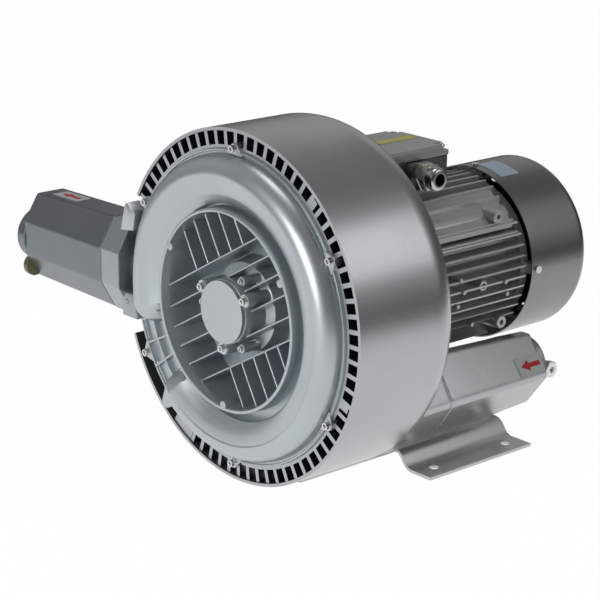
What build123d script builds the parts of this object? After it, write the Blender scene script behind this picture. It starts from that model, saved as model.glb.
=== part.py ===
from build123d import *
from math import acos, asin, atan2, cos, degrees, radians, sin, sqrt, tan
import os

# Two-stage side channel blower: two impellers in a round cast casing, driven by a finned
# motor on the same shaft, with a silencer on each port and a bent sheet-steel foot.
# Millimetres. X across, Y along the shaft towards the motor, Z up. The origin lies on the
# ground, in the middle of the four foot holes. "Depth" is the distance along the shaft
# behind the front edge of the shroud. Angles are seen from the front, anticlockwise from +X.

# ---- places
shaft_height = 217.0
foot_pattern_depth = 272.0
running_gap = 0.05
screw_gap = 0.1
press_gap = 0.01
seat_gap = 0.2
part_gap = 0.3

# ---- shroud around the casing
shroud_radius = 215.0
shroud_wall = 4.0
shroud_straight = 122.0
shroud_length = 164.0
shroud_mouth_radius = shroud_radius - 25.5
port_window_from = 152.0
port_window_to = 202.0
port_window_depth = 82.0
neck_window_gap = 1.5

# ---- casing stack
cover_joint_depth = 8.0
casing_back_wall = 10.3
channel_half_width = 27.0
rear_channel_one = 20.0
front_channel_two = 13.0
rear_channel_two = 17.0
stage_wall = 9.0
impeller_side_gap = 1.5

# ---- front cover
cover_radius = shroud_radius - 25.0
casing_radius = cover_radius - 2.0
impeller_cavity_radius = casing_radius - 2.0
cover_lip_depth = -2.0
cover_wall = 5.0
crest_height = 23.0
bulge_outer_radius = cover_radius - 5.5
bulge_inner_radius = 127.0
bulge_from = -127.0
bulge_to = 190.0
groove_depth = -9.0
recess_rim_radius = 122.5
recess_rim_width = 4.0
recess_rim_height = 17.5
recess_draft = 6.0
recess_floor_depth = 40.0
recess_floor_thickness = 6.0
ear_count = 6
ear_first_angle = 30.0
ear_circle_radius = cover_radius + 2.8
ear_radius = 6.5
ear_foot_width = 26.0
cover_screw_radius = 3.0
cover_screw_length = 24.0
recess_boss_radius = 5.0
recess_boss_circle = 116.5
recess_boss_bore = 2.5
recess_rib_thickness = 2.2
recess_rib_pitch = 24.5
recess_rib_angle = 30.0
recess_rib_rows = 6
cross_rib_count = 6
recess_rib_height = 48.0
hub_radius = 39.0
hub_base_radius = 70.0
hub_base_height = 14.0
hub_face_depth = -17.0
interrupter_rib_step = 9.4
interrupter_rib_count = 4
interrupter_web_radius = 166.0
interrupter_wall = 2.6
interrupter_floor = 5.0

# ---- bearing cap
cap_radius = 38.0
cap_thickness = 5.0
cap_screw_circle = 44.6
cap_lobe_radius = 8.0
cap_screw_size = 3.0
cap_ear_thickness = 2.0
cap_screw_length = 18.0

# ---- slotted ring between cover and shroud
ring_depth = 2.0
ring_thickness = 12.0
ring_seat_depth = 8.2
ring_rib_step = 5.0
ring_rib_width = 5.4
ring_hub_width = 4.0
ring_from = -124.0
ring_to = 152.0
ring_end_pad = 9.0
ring_shroud_gap = 0.3
solid_patch_angles = (50.0, -20.0)
solid_patch_width = 6.5

# ---- shaft, bearings and impellers
shaft_radius = 15.0
journal_radius = 12.5
bearing_outer_radius = 31.0
bearing_width = 17.0
bearing_race = 4.8
ball_count = 8
front_bearing_depth = 0.0
shaft_front_depth = -6.0
impeller_outer_radius = impeller_cavity_radius - 1.5
channel_centre_radius = impeller_outer_radius - 29.5
impeller_inner_radius = 127.5
impeller_one_depth = 11.0
impeller_one_thickness = 45.0
impeller_two_thickness = 34.0
impeller_web = 6.0
impeller_rim_step = 2.0
impeller_core = 6.0
blade_count = 46
blade_thickness = 3.0
impeller_hub_radius = 32.0
key_width = 8.0
key_height = 7.0
key_length = 18.0
seal_outer_radius = 24.0
seal_width = 8.0
circlip_width = 1.6
circlip_height = 3.0
circlip_groove = 1.2

# ---- motor
flange_radius = 98.0
flange_thickness = 12.0
flange_screw_circle = 103.0
flange_lobe_radius = 11.0
flange_screw_count = 4
flange_screw_first = 15.0
flange_screw_radius = 5.0
barrel_radius = 88.0
fin_radius = 108.0
fin_thickness = 2.6
fin_pitch = 13.2
side_fin_rows = 10
top_fin_rows = 8
fin_start_depth = 184.0
corner_pad_from = 205.0
corner_pad_to = 372.0
corner_pad_reach = 100.0
stator_outer_radius = 82.0
stator_inner_radius = 50.0
stator_depth = fin_start_depth + 26.0
stator_length = 130.0
stator_slot_count = 24
stator_slot_width = 5.0
stator_slot_height = 18.0
winding_overhang = 26.0
barrel_end_depth = stator_depth + stator_length + winding_overhang + 22.0
rear_bearing_depth = barrel_end_depth + 6.0
fin_end_depth = barrel_end_depth - 4.0
winding_inner_radius = 54.0
winding_outer_radius = 76.0
air_gap = 0.6
end_ring_length = 10.0
end_shield_thickness = 12.0
end_shield_hub_radius = 42.0
end_shield_bolt_circle = 76.0
end_shield_bolt_radius = 3.0

# ---- cooling fan and cowl
fan_blade_count = 9
fan_radius = 92.0
fan_depth = rear_bearing_depth + bearing_width + 21.0
shaft_back_depth = fan_depth + 26.0
fan_blade_width = 26.0
fan_disc = 3.0
fan_hub_radius = 24.0
cowl_radius = 113.0
cowl_wall = 1.5
cowl_front_depth = barrel_end_depth + 2.0
cowl_straight_end = fan_depth + 48.0
cowl_back_depth = cowl_straight_end + 20.0
cowl_back_radius = 96.0
grille_ring_step = 9.0
grille_ring_width = 4.0
grille_ring_count = 7
grille_spoke_count = 4
cowl_screw_radius = 2.5
cowl_lug_size = 13.0

# ---- terminal box
box_centre_depth = stator_depth + 30.0
box_length = 120.0
box_width = 100.0
box_bottom_height = 112.0
box_joint_height = 151.0
box_lid_height = 165.0
box_wall = 4.0
box_corner = 8.0
box_gasket_thickness = 1.2
lid_notch = 10.0
pedestal_width = 70.0
pedestal_length = 96.0
lid_screw_inset = 9.0
lid_screw_radius = 2.5
terminal_stud_radius = 2.5
terminal_stud_pitch = 16.0
board_thickness = 6.0

# ---- cable gland
gland_height = 136.0
gland_thread_radius = 12.5
gland_boss_radius = 18.0
gland_boss_length = 12.0
gland_hex_width = 32.0
gland_hex_length = 9.0
gland_cap_radius = 15.0
gland_cap_length = 22.0
gland_bore_radius = 8.0

# ---- silencers, necks and ports: u runs across a port and v up
silencer_wall = 4.0
silencer_corner = 5.0
silencer_end_wall = 10.0
port_bore_radius = 29.8
port_collar_radius = 47.0
port_collar_length = 14.0
liner_radius = 25.0
liner_thickness = 1.5
drain_plug_radius = 14.0
drain_plug_length = 10.0
gauge_plug_radius = 6.0
gauge_plug_reach = 60.0
gauge_plug_v = -5.0
gasket_thickness = 1.5
face_slope = 60.0

left_port_depth = 26.0
left_port_height = 3.0
left_seam_x = -240.0
left_length = 168.0
left_seam_half_height = 59.0
left_end_half_height = 56.0
left_flat_from = -24.0
left_flat_to = 18.0
left_blunt_half = 22.0
left_far_half = 8.0
left_bore_v = 0.0
left_plug_u = -30.0
left_plug_v = -41.0
left_block_length = 36.0
left_duct_depth = 38.0
left_duct_bore = 22.0
left_duct_wall = 7.0
left_lug_low = -44.0
left_lug_high = 52.0
left_lug_width = 26.0
left_lug_thickness = 7.0
left_lug_inner = 176.0

right_port_x = 97.0
right_port_height = -128.0
right_seam_depth = 217.0
right_length = 170.0
right_seam_half_height = 54.0
right_end_half_height = 46.0
right_flat_from = 6.0
right_flat_to = 19.0
right_edge_u = 51.0
right_edge_half = 4.0
right_inner_u = -40.0
right_inner_half = 27.0
right_bore_v = -10.0
right_plug_u = -27.0
right_plug_v = -44.0
right_duct_bore = 25.0
neck_start_depth = 134.0

# ---- foot
foot_sheet = 4.0
foot_half_width = 151.0
foot_flat_from = 119.0
foot_top_half = 88.0
foot_plate_height = 21.5 - shroud_radius
foot_wing_front = 181.0
foot_wing_back = 360.0
foot_tongue_front = 24.0
foot_tongue_half = 91.0
foot_hole_spacing_x = 260.0
foot_hole_spacing_y = 127.0
foot_hole_radius = 6.5
foot_screw_radius = 5.0
foot_screw_half_x = 60.0
foot_screw_depths = (54.0, 118.0)

row_y = -foot_pattern_depth
turning_axis = Axis((0, 0, shaft_height), (0, -1, 0))

foot_top = shaft_height + foot_plate_height
recess_rim_depth = cover_lip_depth - recess_rim_height
recess_top_radius = recess_rim_radius - recess_rim_width
recess_floor_radius = recess_top_radius - recess_draft
recess_floor_back = recess_floor_depth + recess_floor_thickness
crest_depth = cover_lip_depth - crest_height
rib_front_depth = recess_floor_depth - recess_rib_height
bearing_bore_radius = bearing_outer_radius + 0.01
front_seal_depth = recess_floor_back - seal_width
interrupter_floor_depth = cover_joint_depth - interrupter_floor
interrupter_middle = (bulge_to + bulge_from + 360.0) / 2
cap_screw_end = hub_face_depth + cap_screw_length
cavity_one_back = impeller_one_depth + impeller_one_thickness + impeller_side_gap
channel_one_back = cavity_one_back + rear_channel_one
stage_joint_depth = channel_one_back + stage_wall + front_channel_two
impeller_two_depth = stage_joint_depth + impeller_side_gap
cavity_two_back = impeller_two_depth + impeller_two_thickness + impeller_side_gap
channel_two_back = cavity_two_back + rear_channel_two
casing_back_depth = channel_two_back + casing_back_wall
stage_plate_front = cavity_one_back + 12.0
stage_plate_back = stage_plate_front + stage_wall + 3.0
channel_inner = channel_centre_radius - channel_half_width
channel_outer = channel_centre_radius + channel_half_width
sleeve_radius = shaft_radius + 5.0
sleeve_front = stage_plate_front - impeller_side_gap
back_seal_depth = casing_back_depth - seal_width - 2.0
foot_screw_grip = 12.0
lug_length = 9.0
flange_screw_grip = 9.0
shroud_back_bore = shroud_mouth_radius - shroud_wall
core_bore_radius = 20.0
key_floor = shaft_radius - 4.0
fan_key_width = 6.0
fan_hub_length = 28.0
key_depths = (
    (recess_floor_back + impeller_side_gap + sleeve_front) / 2,
    impeller_two_depth + impeller_two_thickness / 2,
)
ball_circle_radius = (bearing_outer_radius + journal_radius) / 2
ball_radius = (bearing_outer_radius - journal_radius) / 2 - bearing_race + 1.2
cage_radial = 2.4
cage_width = 14.0
end_ring_width = 14.0
shield_boss_radius = 8.0
wire_hole_radius = 14.0
end_shield_radius = 96.0
cowl_screw_lugs = (0.0, 90.0, 180.0, 270.0)
cowl_screw_depth_middle = barrel_end_depth + 5.0 + cowl_lug_size / 2
wave_washer_thickness = 1.0
post_radius = 6.0
lid_notch_floor = 5.0
board_width = 62.0
board_length = 44.0
gland_start = box_width / 2 + gland_boss_length


def front_plane(depth):
    """Sketch plane across the shaft: its x is X, its y is up from the shaft, its z faces forward."""
    return Plane(origin=(0, row_y + depth, shaft_height), x_dir=(1, 0, 0), z_dir=(0, -1, 0))


def slab(sketch, front, back):
    """A flat sketch made solid between two depths."""
    return extrude(front_plane(back) * sketch, amount=back - front)


def disc(radius, front, back):
    return slab(Circle(radius), front, back)


def ring(outer, inner, front, back):
    return slab(Circle(outer) - Circle(inner), front, back)


def side_plane():
    """Sketch plane through the shaft: its x is depth, its y is the distance from the shaft."""
    return Plane(origin=(0, row_y, shaft_height), x_dir=(0, 1, 0), z_dir=(0, 0, -1))


def turned(outline, angle=360.0, start=0.0):
    """A (depth, radius) outline turned about the shaft, from one angle over another."""
    shape = revolve(side_plane() * outline, axis=turning_axis, revolution_arc=angle)
    return shape.rotate(turning_axis, start)


def outline(*points):
    return make_face(Polyline(*points, close=True))


def at_angle(shape, angle):
    return shape.rotate(turning_axis, angle)


def around(shape, angles):
    return [at_angle(shape, angle) for angle in angles]


def evenly(count, first=0.0):
    return [first + 360.0 * number / count for number in range(count)]


def polar(radius, angle):
    return (radius * cos(radians(angle)), radius * sin(radians(angle)))


def hexagon(across_flats):
    return RegularPolygon(radius=across_flats / 2, side_count=6, major_radius=False)


def hex_screw(radius, length, depth, x, height):
    """A hexagon screw along the shaft: its head stands in front of the given depth."""
    head = slab(Pos(x, height) * hexagon(3.4 * radius), depth - 1.4 * radius, depth)
    shank = slab(Pos(x, height) * Circle(radius), depth, depth + length)
    return head + shank


def merged(shapes):
    first, *rest = shapes
    return first.fuse(*rest) if rest else first


def save(shape, name):
    solids = shape.solids() if not isinstance(shape, list) else [s for one in shape for s in one.solids()]
    group = solids[0] if len(solids) == 1 else Compound(children=solids)
    export_step(group, f"parts/{name}.step")


ear_angles = evenly(ear_count, ear_first_angle)
cap_angles = evenly(3, ear_first_angle)

# ---- front cover and what it holds

interrupter_rib_angles = [
    interrupter_middle + interrupter_rib_step * (number - (interrupter_rib_count - 1) / 2)
    for number in range(interrupter_rib_count)
]


def bulge_line(outer, inner, inset):
    """Front line of the channel's section, from its outer foot over the crest to its inner foot."""
    crest = crest_depth + inset
    shoulder_out = outer - 18.0
    shoulder_in = inner + 14.0
    return [
        Line((cover_joint_depth, outer), (cover_lip_depth, outer)),
        ThreePointArc(
            (cover_lip_depth, outer),
            (crest + 7.0, outer - 6.0),
            (crest + 1.5, shoulder_out),
        ),
        ThreePointArc(
            (crest + 1.5, shoulder_out),
            (crest, (shoulder_out + shoulder_in) / 2),
            (crest + 3.0, shoulder_in),
        ),
        ThreePointArc(
            (crest + 3.0, shoulder_in),
            ((crest + groove_depth) / 2, inner + 4.5),
            (groove_depth + inset, inner),
        ),
        Line((groove_depth + inset, inner), (cover_joint_depth, inner)),
        Line((cover_joint_depth, inner), (cover_joint_depth, outer)),
    ]


def dome(angle, inset):
    """Rounded end of the channel beside the interrupter."""
    middle = (bulge_outer_radius + bulge_inner_radius) / 2
    half = bulge_outer_radius - middle - inset
    crest = crest_depth + inset
    profile = make_face(
        [
            Line((cover_joint_depth, 0), (cover_joint_depth, half)),
            Line((cover_joint_depth, half), (cover_lip_depth, half)),
            ThreePointArc((cover_lip_depth, half), (crest + 6.5, 0.74 * half), (crest, 0)),
            Line((crest, 0), (cover_joint_depth, 0)),
        ]
    )
    place = Plane(origin=(middle, row_y, shaft_height), x_dir=(0, 1, 0), z_dir=(0, 0, -1))
    spin = Axis((middle, row_y, shaft_height), (0, -1, 0))
    return at_angle(revolve(place * profile, axis=spin), angle)


def bulge(inset):
    """The half-round channel swept round the cover, with a domed end each side of the interrupter."""
    outer = bulge_outer_radius - inset
    inner = bulge_inner_radius + inset
    section = make_face(bulge_line(outer, inner, inset))
    swept = turned(section, bulge_to - bulge_from, bulge_from)
    return merged([swept, dome(bulge_from, inset), dome(bulge_to, inset)])


def cover_plate():
    """Flat rim, recess wall and recess floor, turned as one casting."""
    return turned(
        outline(
            (cover_lip_depth, cover_radius),
            (cover_joint_depth, cover_radius),
            (cover_joint_depth, recess_rim_radius + 2.0),
            (recess_floor_back, recess_floor_radius + cover_wall),
            (recess_floor_back, 0),
            (recess_floor_depth, 0),
            (recess_floor_depth, recess_floor_radius),
            (recess_rim_depth, recess_top_radius),
            (recess_rim_depth, recess_rim_radius),
            (interrupter_floor_depth, recess_rim_radius + 1.0),
            (interrupter_floor_depth, cover_radius - interrupter_wall),
            (cover_lip_depth, cover_radius - interrupter_wall),
        )
    )


def recess_ribs():
    """Straight ribs across the recess floor, with shorter ones square to them above and below."""
    reach = recess_top_radius
    last_row = recess_rib_pitch * (recess_rib_rows - 1) / 2
    rows = Sketch()
    for row in range(recess_rib_rows):
        across = Rectangle(2 * reach, recess_rib_thickness)
        rows += Pos(0, row * recess_rib_pitch - last_row) * across
    for side, shift in ((1, 0), (-1, 0)):
        for number in range(cross_rib_count):
            along = (number - (cross_rib_count - 2) / 2) * recess_rib_pitch
            high = Rectangle(recess_rib_thickness, reach - last_row)
            rows += Pos(along + shift, side * (last_row + reach) / 2) * high
    rows = Rot(0, 0, recess_rib_angle) * rows
    bars = slab(rows, rib_front_depth, recess_floor_depth + 1.0)
    inside = turned(
        outline(
            (recess_floor_depth + 2.0, 0),
            (recess_floor_depth + 2.0, recess_floor_radius + 1.0),
            (rib_front_depth - 2.0, recess_top_radius - 1.5),
            (rib_front_depth - 2.0, 0),
        )
    )
    return bars & inside


def lobes(radius, front, back):
    """Three screw lobes on the bearing housing and on its cap."""
    return [disc_at(radius, cap_screw_circle, angle, front, back) for angle in cap_angles]


def disc_at(radius, circle, angle, front, back):
    return slab(Pos(*polar(circle, angle)) * Circle(radius), front, back)


def ear_outline(growth):
    """A round pad drawn in to the cover's rim on both sides."""
    inside = cover_radius - 4.0
    return make_hull(
        [
            *(Pos(ear_circle_radius, 0) * Circle(ear_radius + growth)).edges(),
            *(Pos(inside, 0) * Rectangle(2.0, ear_foot_width + 2 * growth)).edges(),
        ]
    )


def cover_ears():
    """Screw ears outside the rim of the cover."""
    return around(slab(ear_outline(0.0), cover_lip_depth - 1.0, cover_joint_depth), ear_angles)


def front_cover():
    """Cast cover: channel half, slotted screw ears, ribbed recess and the front bearing housing."""
    hub = merged(
        [
            disc(hub_radius, hub_face_depth, recess_floor_back),
            disc(hub_base_radius, recess_floor_depth - hub_base_height, recess_floor_back),
            *lobes(cap_lobe_radius, hub_face_depth, recess_floor_back),
        ]
    )
    bosses = [
        disc_at(recess_boss_radius, recess_boss_circle, angle, recess_rim_depth, recess_floor_back - 1.0)
        for angle in cap_angles
    ]
    web = [
        turned(
            outline(
                (cover_lip_depth, interrupter_web_radius),
                (interrupter_floor_depth + 1.0, interrupter_web_radius),
                (interrupter_floor_depth + 1.0, interrupter_web_radius + interrupter_wall),
                (cover_lip_depth, interrupter_web_radius + interrupter_wall),
            )
        )
    ]
    bar = slab(
        Pos((recess_rim_radius + interrupter_web_radius) / 2 + 5.0, 0)
        * Rectangle(interrupter_web_radius - recess_rim_radius + 14.0, interrupter_wall),
        cover_lip_depth - 2.0,
        interrupter_floor_depth + 1.0,
    )
    bars = around(bar, interrupter_rib_angles)
    solid = merged([cover_plate(), bulge(0.0), hub, recess_ribs(), *bosses, *web, *bars, *cover_ears()])
    holes = [
        bulge(cover_wall),
        disc(bearing_bore_radius, hub_face_depth - 1.0, front_bearing_depth + bearing_width),
        disc(shaft_radius + part_gap, hub_face_depth - 1.0, recess_floor_back + 1.0),
        disc(seal_outer_radius, front_seal_depth, recess_floor_back + 1.0),
        *[
            disc_at(cap_screw_size + screw_gap, cap_screw_circle, angle, hub_face_depth - 1.0, cap_screw_end)
            for angle in cap_angles
        ],
        *[
            disc_at(recess_boss_bore, recess_boss_circle, angle, recess_rim_depth - 1.0, recess_floor_depth)
            for angle in cap_angles
        ],
        *[
            disc_at(
                cover_screw_radius + screw_gap,
                ear_circle_radius,
                angle,
                cover_lip_depth - 2.0,
                cover_joint_depth + 1.0,
            )
            for angle in ear_angles
        ],
    ]
    return solid.cut(*holes)


def cover_screws():
    x, height = polar(ear_circle_radius, 0)
    screw = hex_screw(cover_screw_radius, cover_screw_length, cover_lip_depth - 1.0, x, height)
    return around(screw, ear_angles)


def bearing_cap():
    """Round cap over the front bearing, with a spigot that holds the bearing's outer ring."""
    front = hub_face_depth - cap_thickness
    ears = lobes(cap_lobe_radius, hub_face_depth - cap_ear_thickness, hub_face_depth)
    spigot = ring(
        bearing_outer_radius - 0.1,
        bearing_outer_radius - bearing_race,
        hub_face_depth,
        front_bearing_depth,
    )
    holes = lobes(cap_screw_size + screw_gap, front - 1.0, hub_face_depth + 1.0)
    return merged([disc(cap_radius, front, hub_face_depth), spigot, *ears]).cut(*holes)


def bearing_cap_screws():
    x, height = polar(cap_screw_circle, 0)
    seat = hub_face_depth - cap_ear_thickness
    return around(hex_screw(cap_screw_size, cap_screw_length, seat, x, height), cap_angles)


def slotted_ring():
    """Ring of radial bars in the annular gap between the cover and the shroud.

    Its hoop is clamped by the cover's ears against the casing's lugs.
    """
    front = ring_depth
    back = ring_depth + ring_thickness
    outer = shroud_radius - shroud_wall - ring_shroud_gap
    rim = cover_radius + ring_shroud_gap
    hoop_outer = rim + ring_hub_width
    seat = casing_radius + seat_gap
    span = ring_to - ring_from
    profile = outline(
        (front, rim), (ring_seat_depth, rim), (ring_seat_depth, seat), (back, seat), (back, hoop_outer), (front, hoop_outer)
    )
    hoop = turned(profile, span, ring_from)
    width = outer - hoop_outer + 1.0
    bar = slab(Pos(outer - width / 2, 0) * Rectangle(width, ring_rib_width), front, back)
    steps = int(span / ring_rib_step)
    bars = around(bar, [ring_from + number * ring_rib_step for number in range(steps + 1)])
    inner_patch = slab(Pos(outer - width * 0.6, 0) * Rectangle(width * 0.8, 2 * solid_patch_width), front, back)
    patches = around(inner_patch, solid_patch_angles)
    pad_profile = outline((front, rim), (back, rim), (back, outer), (front, outer))
    pad = turned(pad_profile, ring_end_pad, ring_from)
    seats = around(slab(ear_outline(0.0), ring_seat_depth, back), ear_angles)
    whole = merged([hoop, *bars, *patches, pad, *seats])
    ear_room = slab(ear_outline(ring_shroud_gap), front - 1.0, ring_seat_depth)
    hole = disc_at(cover_screw_radius + screw_gap, ear_circle_radius, 0, front, back + 1.0)
    inside = disc(seat, front - 1.0, back + 1.0)
    return (whole & above_foot_plate(seat_gap)).cut(
        *around(ear_room, ear_angles), *around(hole, ear_angles), inside
    )


def above_foot_plate(gap):
    """Everything that lies higher than the foot's top plate."""
    low = foot_top + gap
    high = shaft_height + 2 * shroud_radius
    size = 4 * shroud_radius
    return Pos(0, 0, (low + high) / 2) * Box(size, size, high - low)


# ---- casing: the stack of stages along the shaft


def half_channel(face_depth, bottom_depth):
    """Half-round channel sunk into a face, as a solid to cut away."""
    line = [
        Line((face_depth, channel_inner), (face_depth, channel_outer)),
        ThreePointArc(
            (face_depth, channel_outer),
            (bottom_depth, channel_centre_radius),
            (face_depth, channel_inner),
        ),
    ]
    return turned(make_face(line))


def foot_pads(depth):
    """Cast pads under a casing, down to the foot plate, one on each side."""
    low = foot_top
    high = shaft_height - 0.86 * casing_radius
    size = 6 * foot_screw_radius
    pad = Box(size, size, high - low)
    place = Pos(0, row_y + depth, (low + high) / 2)
    return [Pos(x, 0, 0) * place * pad for x in (-foot_screw_half_x, foot_screw_half_x)]


def foot_screw_holes(depth):
    hole = Cylinder(foot_screw_radius + screw_gap, foot_screw_grip)
    height = foot_top + foot_screw_grip / 2
    return [Pos(x, row_y + depth, height) * hole for x in (-foot_screw_half_x, foot_screw_half_x)]


def middle_housing():
    """Casing between the stages: it holds the first impeller and both channel halves beside the wall."""
    body = turned(
        outline(
            (cover_joint_depth, casing_radius),
            (stage_joint_depth, casing_radius),
            (stage_joint_depth, channel_inner - 6.0),
            (stage_plate_back, channel_inner - 10.0),
            (stage_plate_back, seal_outer_radius + 6.0),
            (stage_plate_front, seal_outer_radius + 6.0),
            (stage_plate_front, channel_inner - 10.0),
            (cavity_one_back, channel_inner - 6.0),
            (cavity_one_back, impeller_cavity_radius),
            (cover_joint_depth, impeller_cavity_radius),
        )
    )
    lug_front = ring_depth + ring_thickness + seat_gap
    lugs = around(slab(ear_outline(0.0), lug_front, lug_front + lug_length), ear_angles)
    core = disc(impeller_cavity_radius, cover_joint_depth - 1.0, cavity_one_back)
    hole = disc_at(
        cover_screw_radius + screw_gap,
        ear_circle_radius,
        0,
        cover_joint_depth - 1.0,
        cover_lip_depth + cover_screw_length,
    )
    cuts = [
        core,
        half_channel(cavity_one_back, channel_one_back),
        half_channel(stage_joint_depth, stage_joint_depth - front_channel_two),
        left_duct(left_duct_bore, channel_centre_radius),
        *around(hole, ear_angles),
        *foot_screw_holes(foot_screw_depths[0]),
    ]
    solid = merged([body, *lugs, *foot_pads(foot_screw_depths[0])]) & above_foot_plate(0.0)
    return solid.cut(*cuts)


def rear_housing():
    """Casing of the second stage, with its port in the back wall and the motor's seat."""
    body = turned(
        outline(
            (stage_joint_depth, casing_radius),
            (casing_back_depth - 8.0, casing_radius),
            (casing_back_depth - 8.0, shroud_back_bore - seat_gap),
            (casing_back_depth, shroud_back_bore - seat_gap),
            (casing_back_depth, seal_outer_radius - 4.0),
            (back_seal_depth + seal_width, seal_outer_radius - 4.0),
            (back_seal_depth + seal_width, seal_outer_radius),
            (channel_two_back - 4.0, seal_outer_radius),
            (channel_two_back - 4.0, channel_inner - 10.0),
            (cavity_two_back, channel_inner - 6.0),
            (cavity_two_back, impeller_cavity_radius),
            (stage_joint_depth, impeller_cavity_radius),
        )
    )
    core = disc(impeller_cavity_radius, stage_joint_depth - 1.0, cavity_two_back)
    port = slab(
        Pos(right_port_x, right_port_height) * Circle(right_duct_bore),
        cavity_two_back,
        casing_back_depth + 1.0,
    )
    tapped = disc_at(
        flange_screw_radius + screw_gap,
        flange_screw_circle,
        0,
        casing_back_depth - flange_screw_grip,
        casing_back_depth + 1.0,
    )
    cuts = [
        core,
        half_channel(cavity_two_back, channel_two_back),
        port,
        *around(tapped, flange_screw_angles),
        *foot_screw_holes(foot_screw_depths[1]),
    ]
    return merged([body, *foot_pads(foot_screw_depths[1])]).cut(*cuts)


flange_screw_angles = evenly(flange_screw_count, flange_screw_first)


def shroud_line(inset):
    """Side line of the shroud: straight, then one arc that draws in to the back."""
    radius = shroud_radius - inset
    drop = shroud_radius - shroud_mouth_radius
    run = shroud_length - shroud_straight
    arc_radius = (run * run + drop * drop) / (2 * drop)
    half = asin(run / arc_radius) / 2
    middle = (
        shroud_straight + (arc_radius - inset) * sin(half),
        shroud_radius - arc_radius + (arc_radius - inset) * cos(half),
    )
    return radius, middle


def shroud():
    """Drum round the casing, open below for the foot and cut away for the two ports."""
    outer, outer_middle = shroud_line(0.0)
    inner, inner_middle = shroud_line(shroud_wall)
    section = make_face(
        [
            Line((0, inner), (0, outer)),
            Line((0, outer), (shroud_straight, outer)),
            ThreePointArc((shroud_straight, outer), outer_middle, (shroud_length, shroud_mouth_radius)),
            Line((shroud_length, shroud_mouth_radius), (shroud_length, shroud_back_bore)),
            ThreePointArc((shroud_length, shroud_back_bore), inner_middle, (shroud_straight, inner)),
            Line((shroud_straight, inner), (0, inner)),
        ]
    )
    reach = 2 * shroud_radius
    window = slab(
        make_face(
            Polyline(
                (0, 0), polar(reach, port_window_from), (-reach, 0), polar(reach, port_window_to), close=True
            )
        ),
        -1.0,
        port_window_depth,
    )
    window_reach = right_seam_depth - neck_start_depth + neck_window_gap
    right_window = right_place(0) * extrude(right_section(neck_window_gap), amount=window_reach)
    return (turned(section) & above_foot_plate(seat_gap)).cut(window, right_window)


# ---- silencers and necks: u runs across and v up, z points back into the blower


def right_place(outwards):
    """Frame of the inlet port, moved outwards from its seam."""
    return Plane(
        origin=(right_port_x, row_y + right_seam_depth + outwards, shaft_height + right_port_height),
        x_dir=(1, 0, 0),
        z_dir=(0, -1, 0),
    ).location


def left_place(outwards):
    """Frame of the outlet port, moved outwards from its seam."""
    return Plane(
        origin=(left_seam_x - outwards, row_y + left_port_depth, shaft_height + left_port_height),
        x_dir=(0, 1, 0),
        z_dir=(1, 0, 0),
    ).location


def left_corners(half_height):
    """Outlet section: flat above and below, one blunt side and one far side that is nearly sharp."""
    slope = 1 / tan(radians(face_slope))
    blunt_u = left_flat_from - (left_seam_half_height - left_blunt_half) * slope
    far_u = left_flat_to + (left_seam_half_height - left_far_half) * slope
    upper = [
        (far_u, left_far_half),
        (left_flat_to, half_height),
        (left_flat_from, half_height),
        (blunt_u, left_blunt_half),
    ]
    return upper + [(u, -v) for u, v in reversed(upper)]


def right_corners(half_height):
    """Inlet section: a nearly sharp outer edge, narrow flats and a blunt side towards the motor."""
    upper = [
        (right_edge_u, right_edge_half),
        (right_flat_to, half_height),
        (right_flat_from, half_height),
        (right_inner_u, right_inner_half),
    ]
    return upper + [(u, -v) for u, v in reversed(upper)]


def section(corners, growth=0.0):
    """A port's section, grown or shrunk all round."""
    face = make_face(Polyline(*corners, close=True))
    return offset(face, amount=growth, kind=Kind.INTERSECTION) if growth else face


def left_section(growth=0.0):
    return section(left_corners(left_seam_half_height), growth)


def right_section(growth=0.0):
    return section(right_corners(right_seam_half_height), growth)


def silencer(seam_corners, end_corners, length, bore_v):
    """One silencer casting: a shell that draws in from its seam to an end wall round the port."""
    solid = loft([section(seam_corners), Pos(0, 0, -length) * section(end_corners)])
    edges = [edge for edge in solid.edges() if edge.length > 0.9 * length]
    solid = fillet(edges, silencer_corner)
    hollow = loft(
        [
            section(seam_corners, -silencer_wall),
            Pos(0, 0, silencer_end_wall - length) * section(end_corners, -silencer_wall),
        ]
    )
    bore = Pos(0, bore_v, -length / 2) * Cylinder(liner_radius, length + 2.0)
    return solid.cut(hollow, bore)


def left_silencer():
    body = silencer(
        left_corners(left_seam_half_height), left_corners(left_end_half_height), left_length, left_bore_v
    )
    return left_place(0) * body


def right_silencer():
    body = silencer(
        right_corners(right_seam_half_height), right_corners(right_end_half_height), right_length, right_bore_v
    )
    return right_place(0) * body


def collar(radius, bore_v):
    """Round bar as long as a port's collar, on the end wall's outside."""
    return Pos(0, bore_v, -port_collar_length / 2) * Cylinder(radius, port_collar_length)


def port_flange(bore_v):
    """Round threaded collar on the end wall, where the pipe screws in."""
    bore = Pos(0, bore_v, -port_collar_length / 2) * Cylinder(port_bore_radius, port_collar_length + 2.0)
    return collar(port_collar_radius, bore_v) - bore


def liner(length, bore_v):
    """Absorber tube inside the silencer, from the neck to the end wall."""
    reach = length - silencer_end_wall + gasket_thickness
    tube = Cylinder(liner_radius + liner_thickness, reach) - Cylinder(liner_radius, reach)
    return Pos(0, bore_v, gasket_thickness - reach / 2) * tube


def port_gasket(make_section):
    return extrude(make_section(-0.5) - make_section(-silencer_wall - 0.5), amount=gasket_thickness)


def drain_plug(u, v, bore_v):
    """Round plug at the low corner of the end wall, beside the collar."""
    plug = Cylinder(drain_plug_radius, drain_plug_length)
    plug = fillet(plug.edges().sort_by(Axis.Z)[0], 3.0)
    plug = Pos(u, v, -drain_plug_length / 2) * plug
    return plug - collar(port_collar_radius + part_gap, bore_v)


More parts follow.
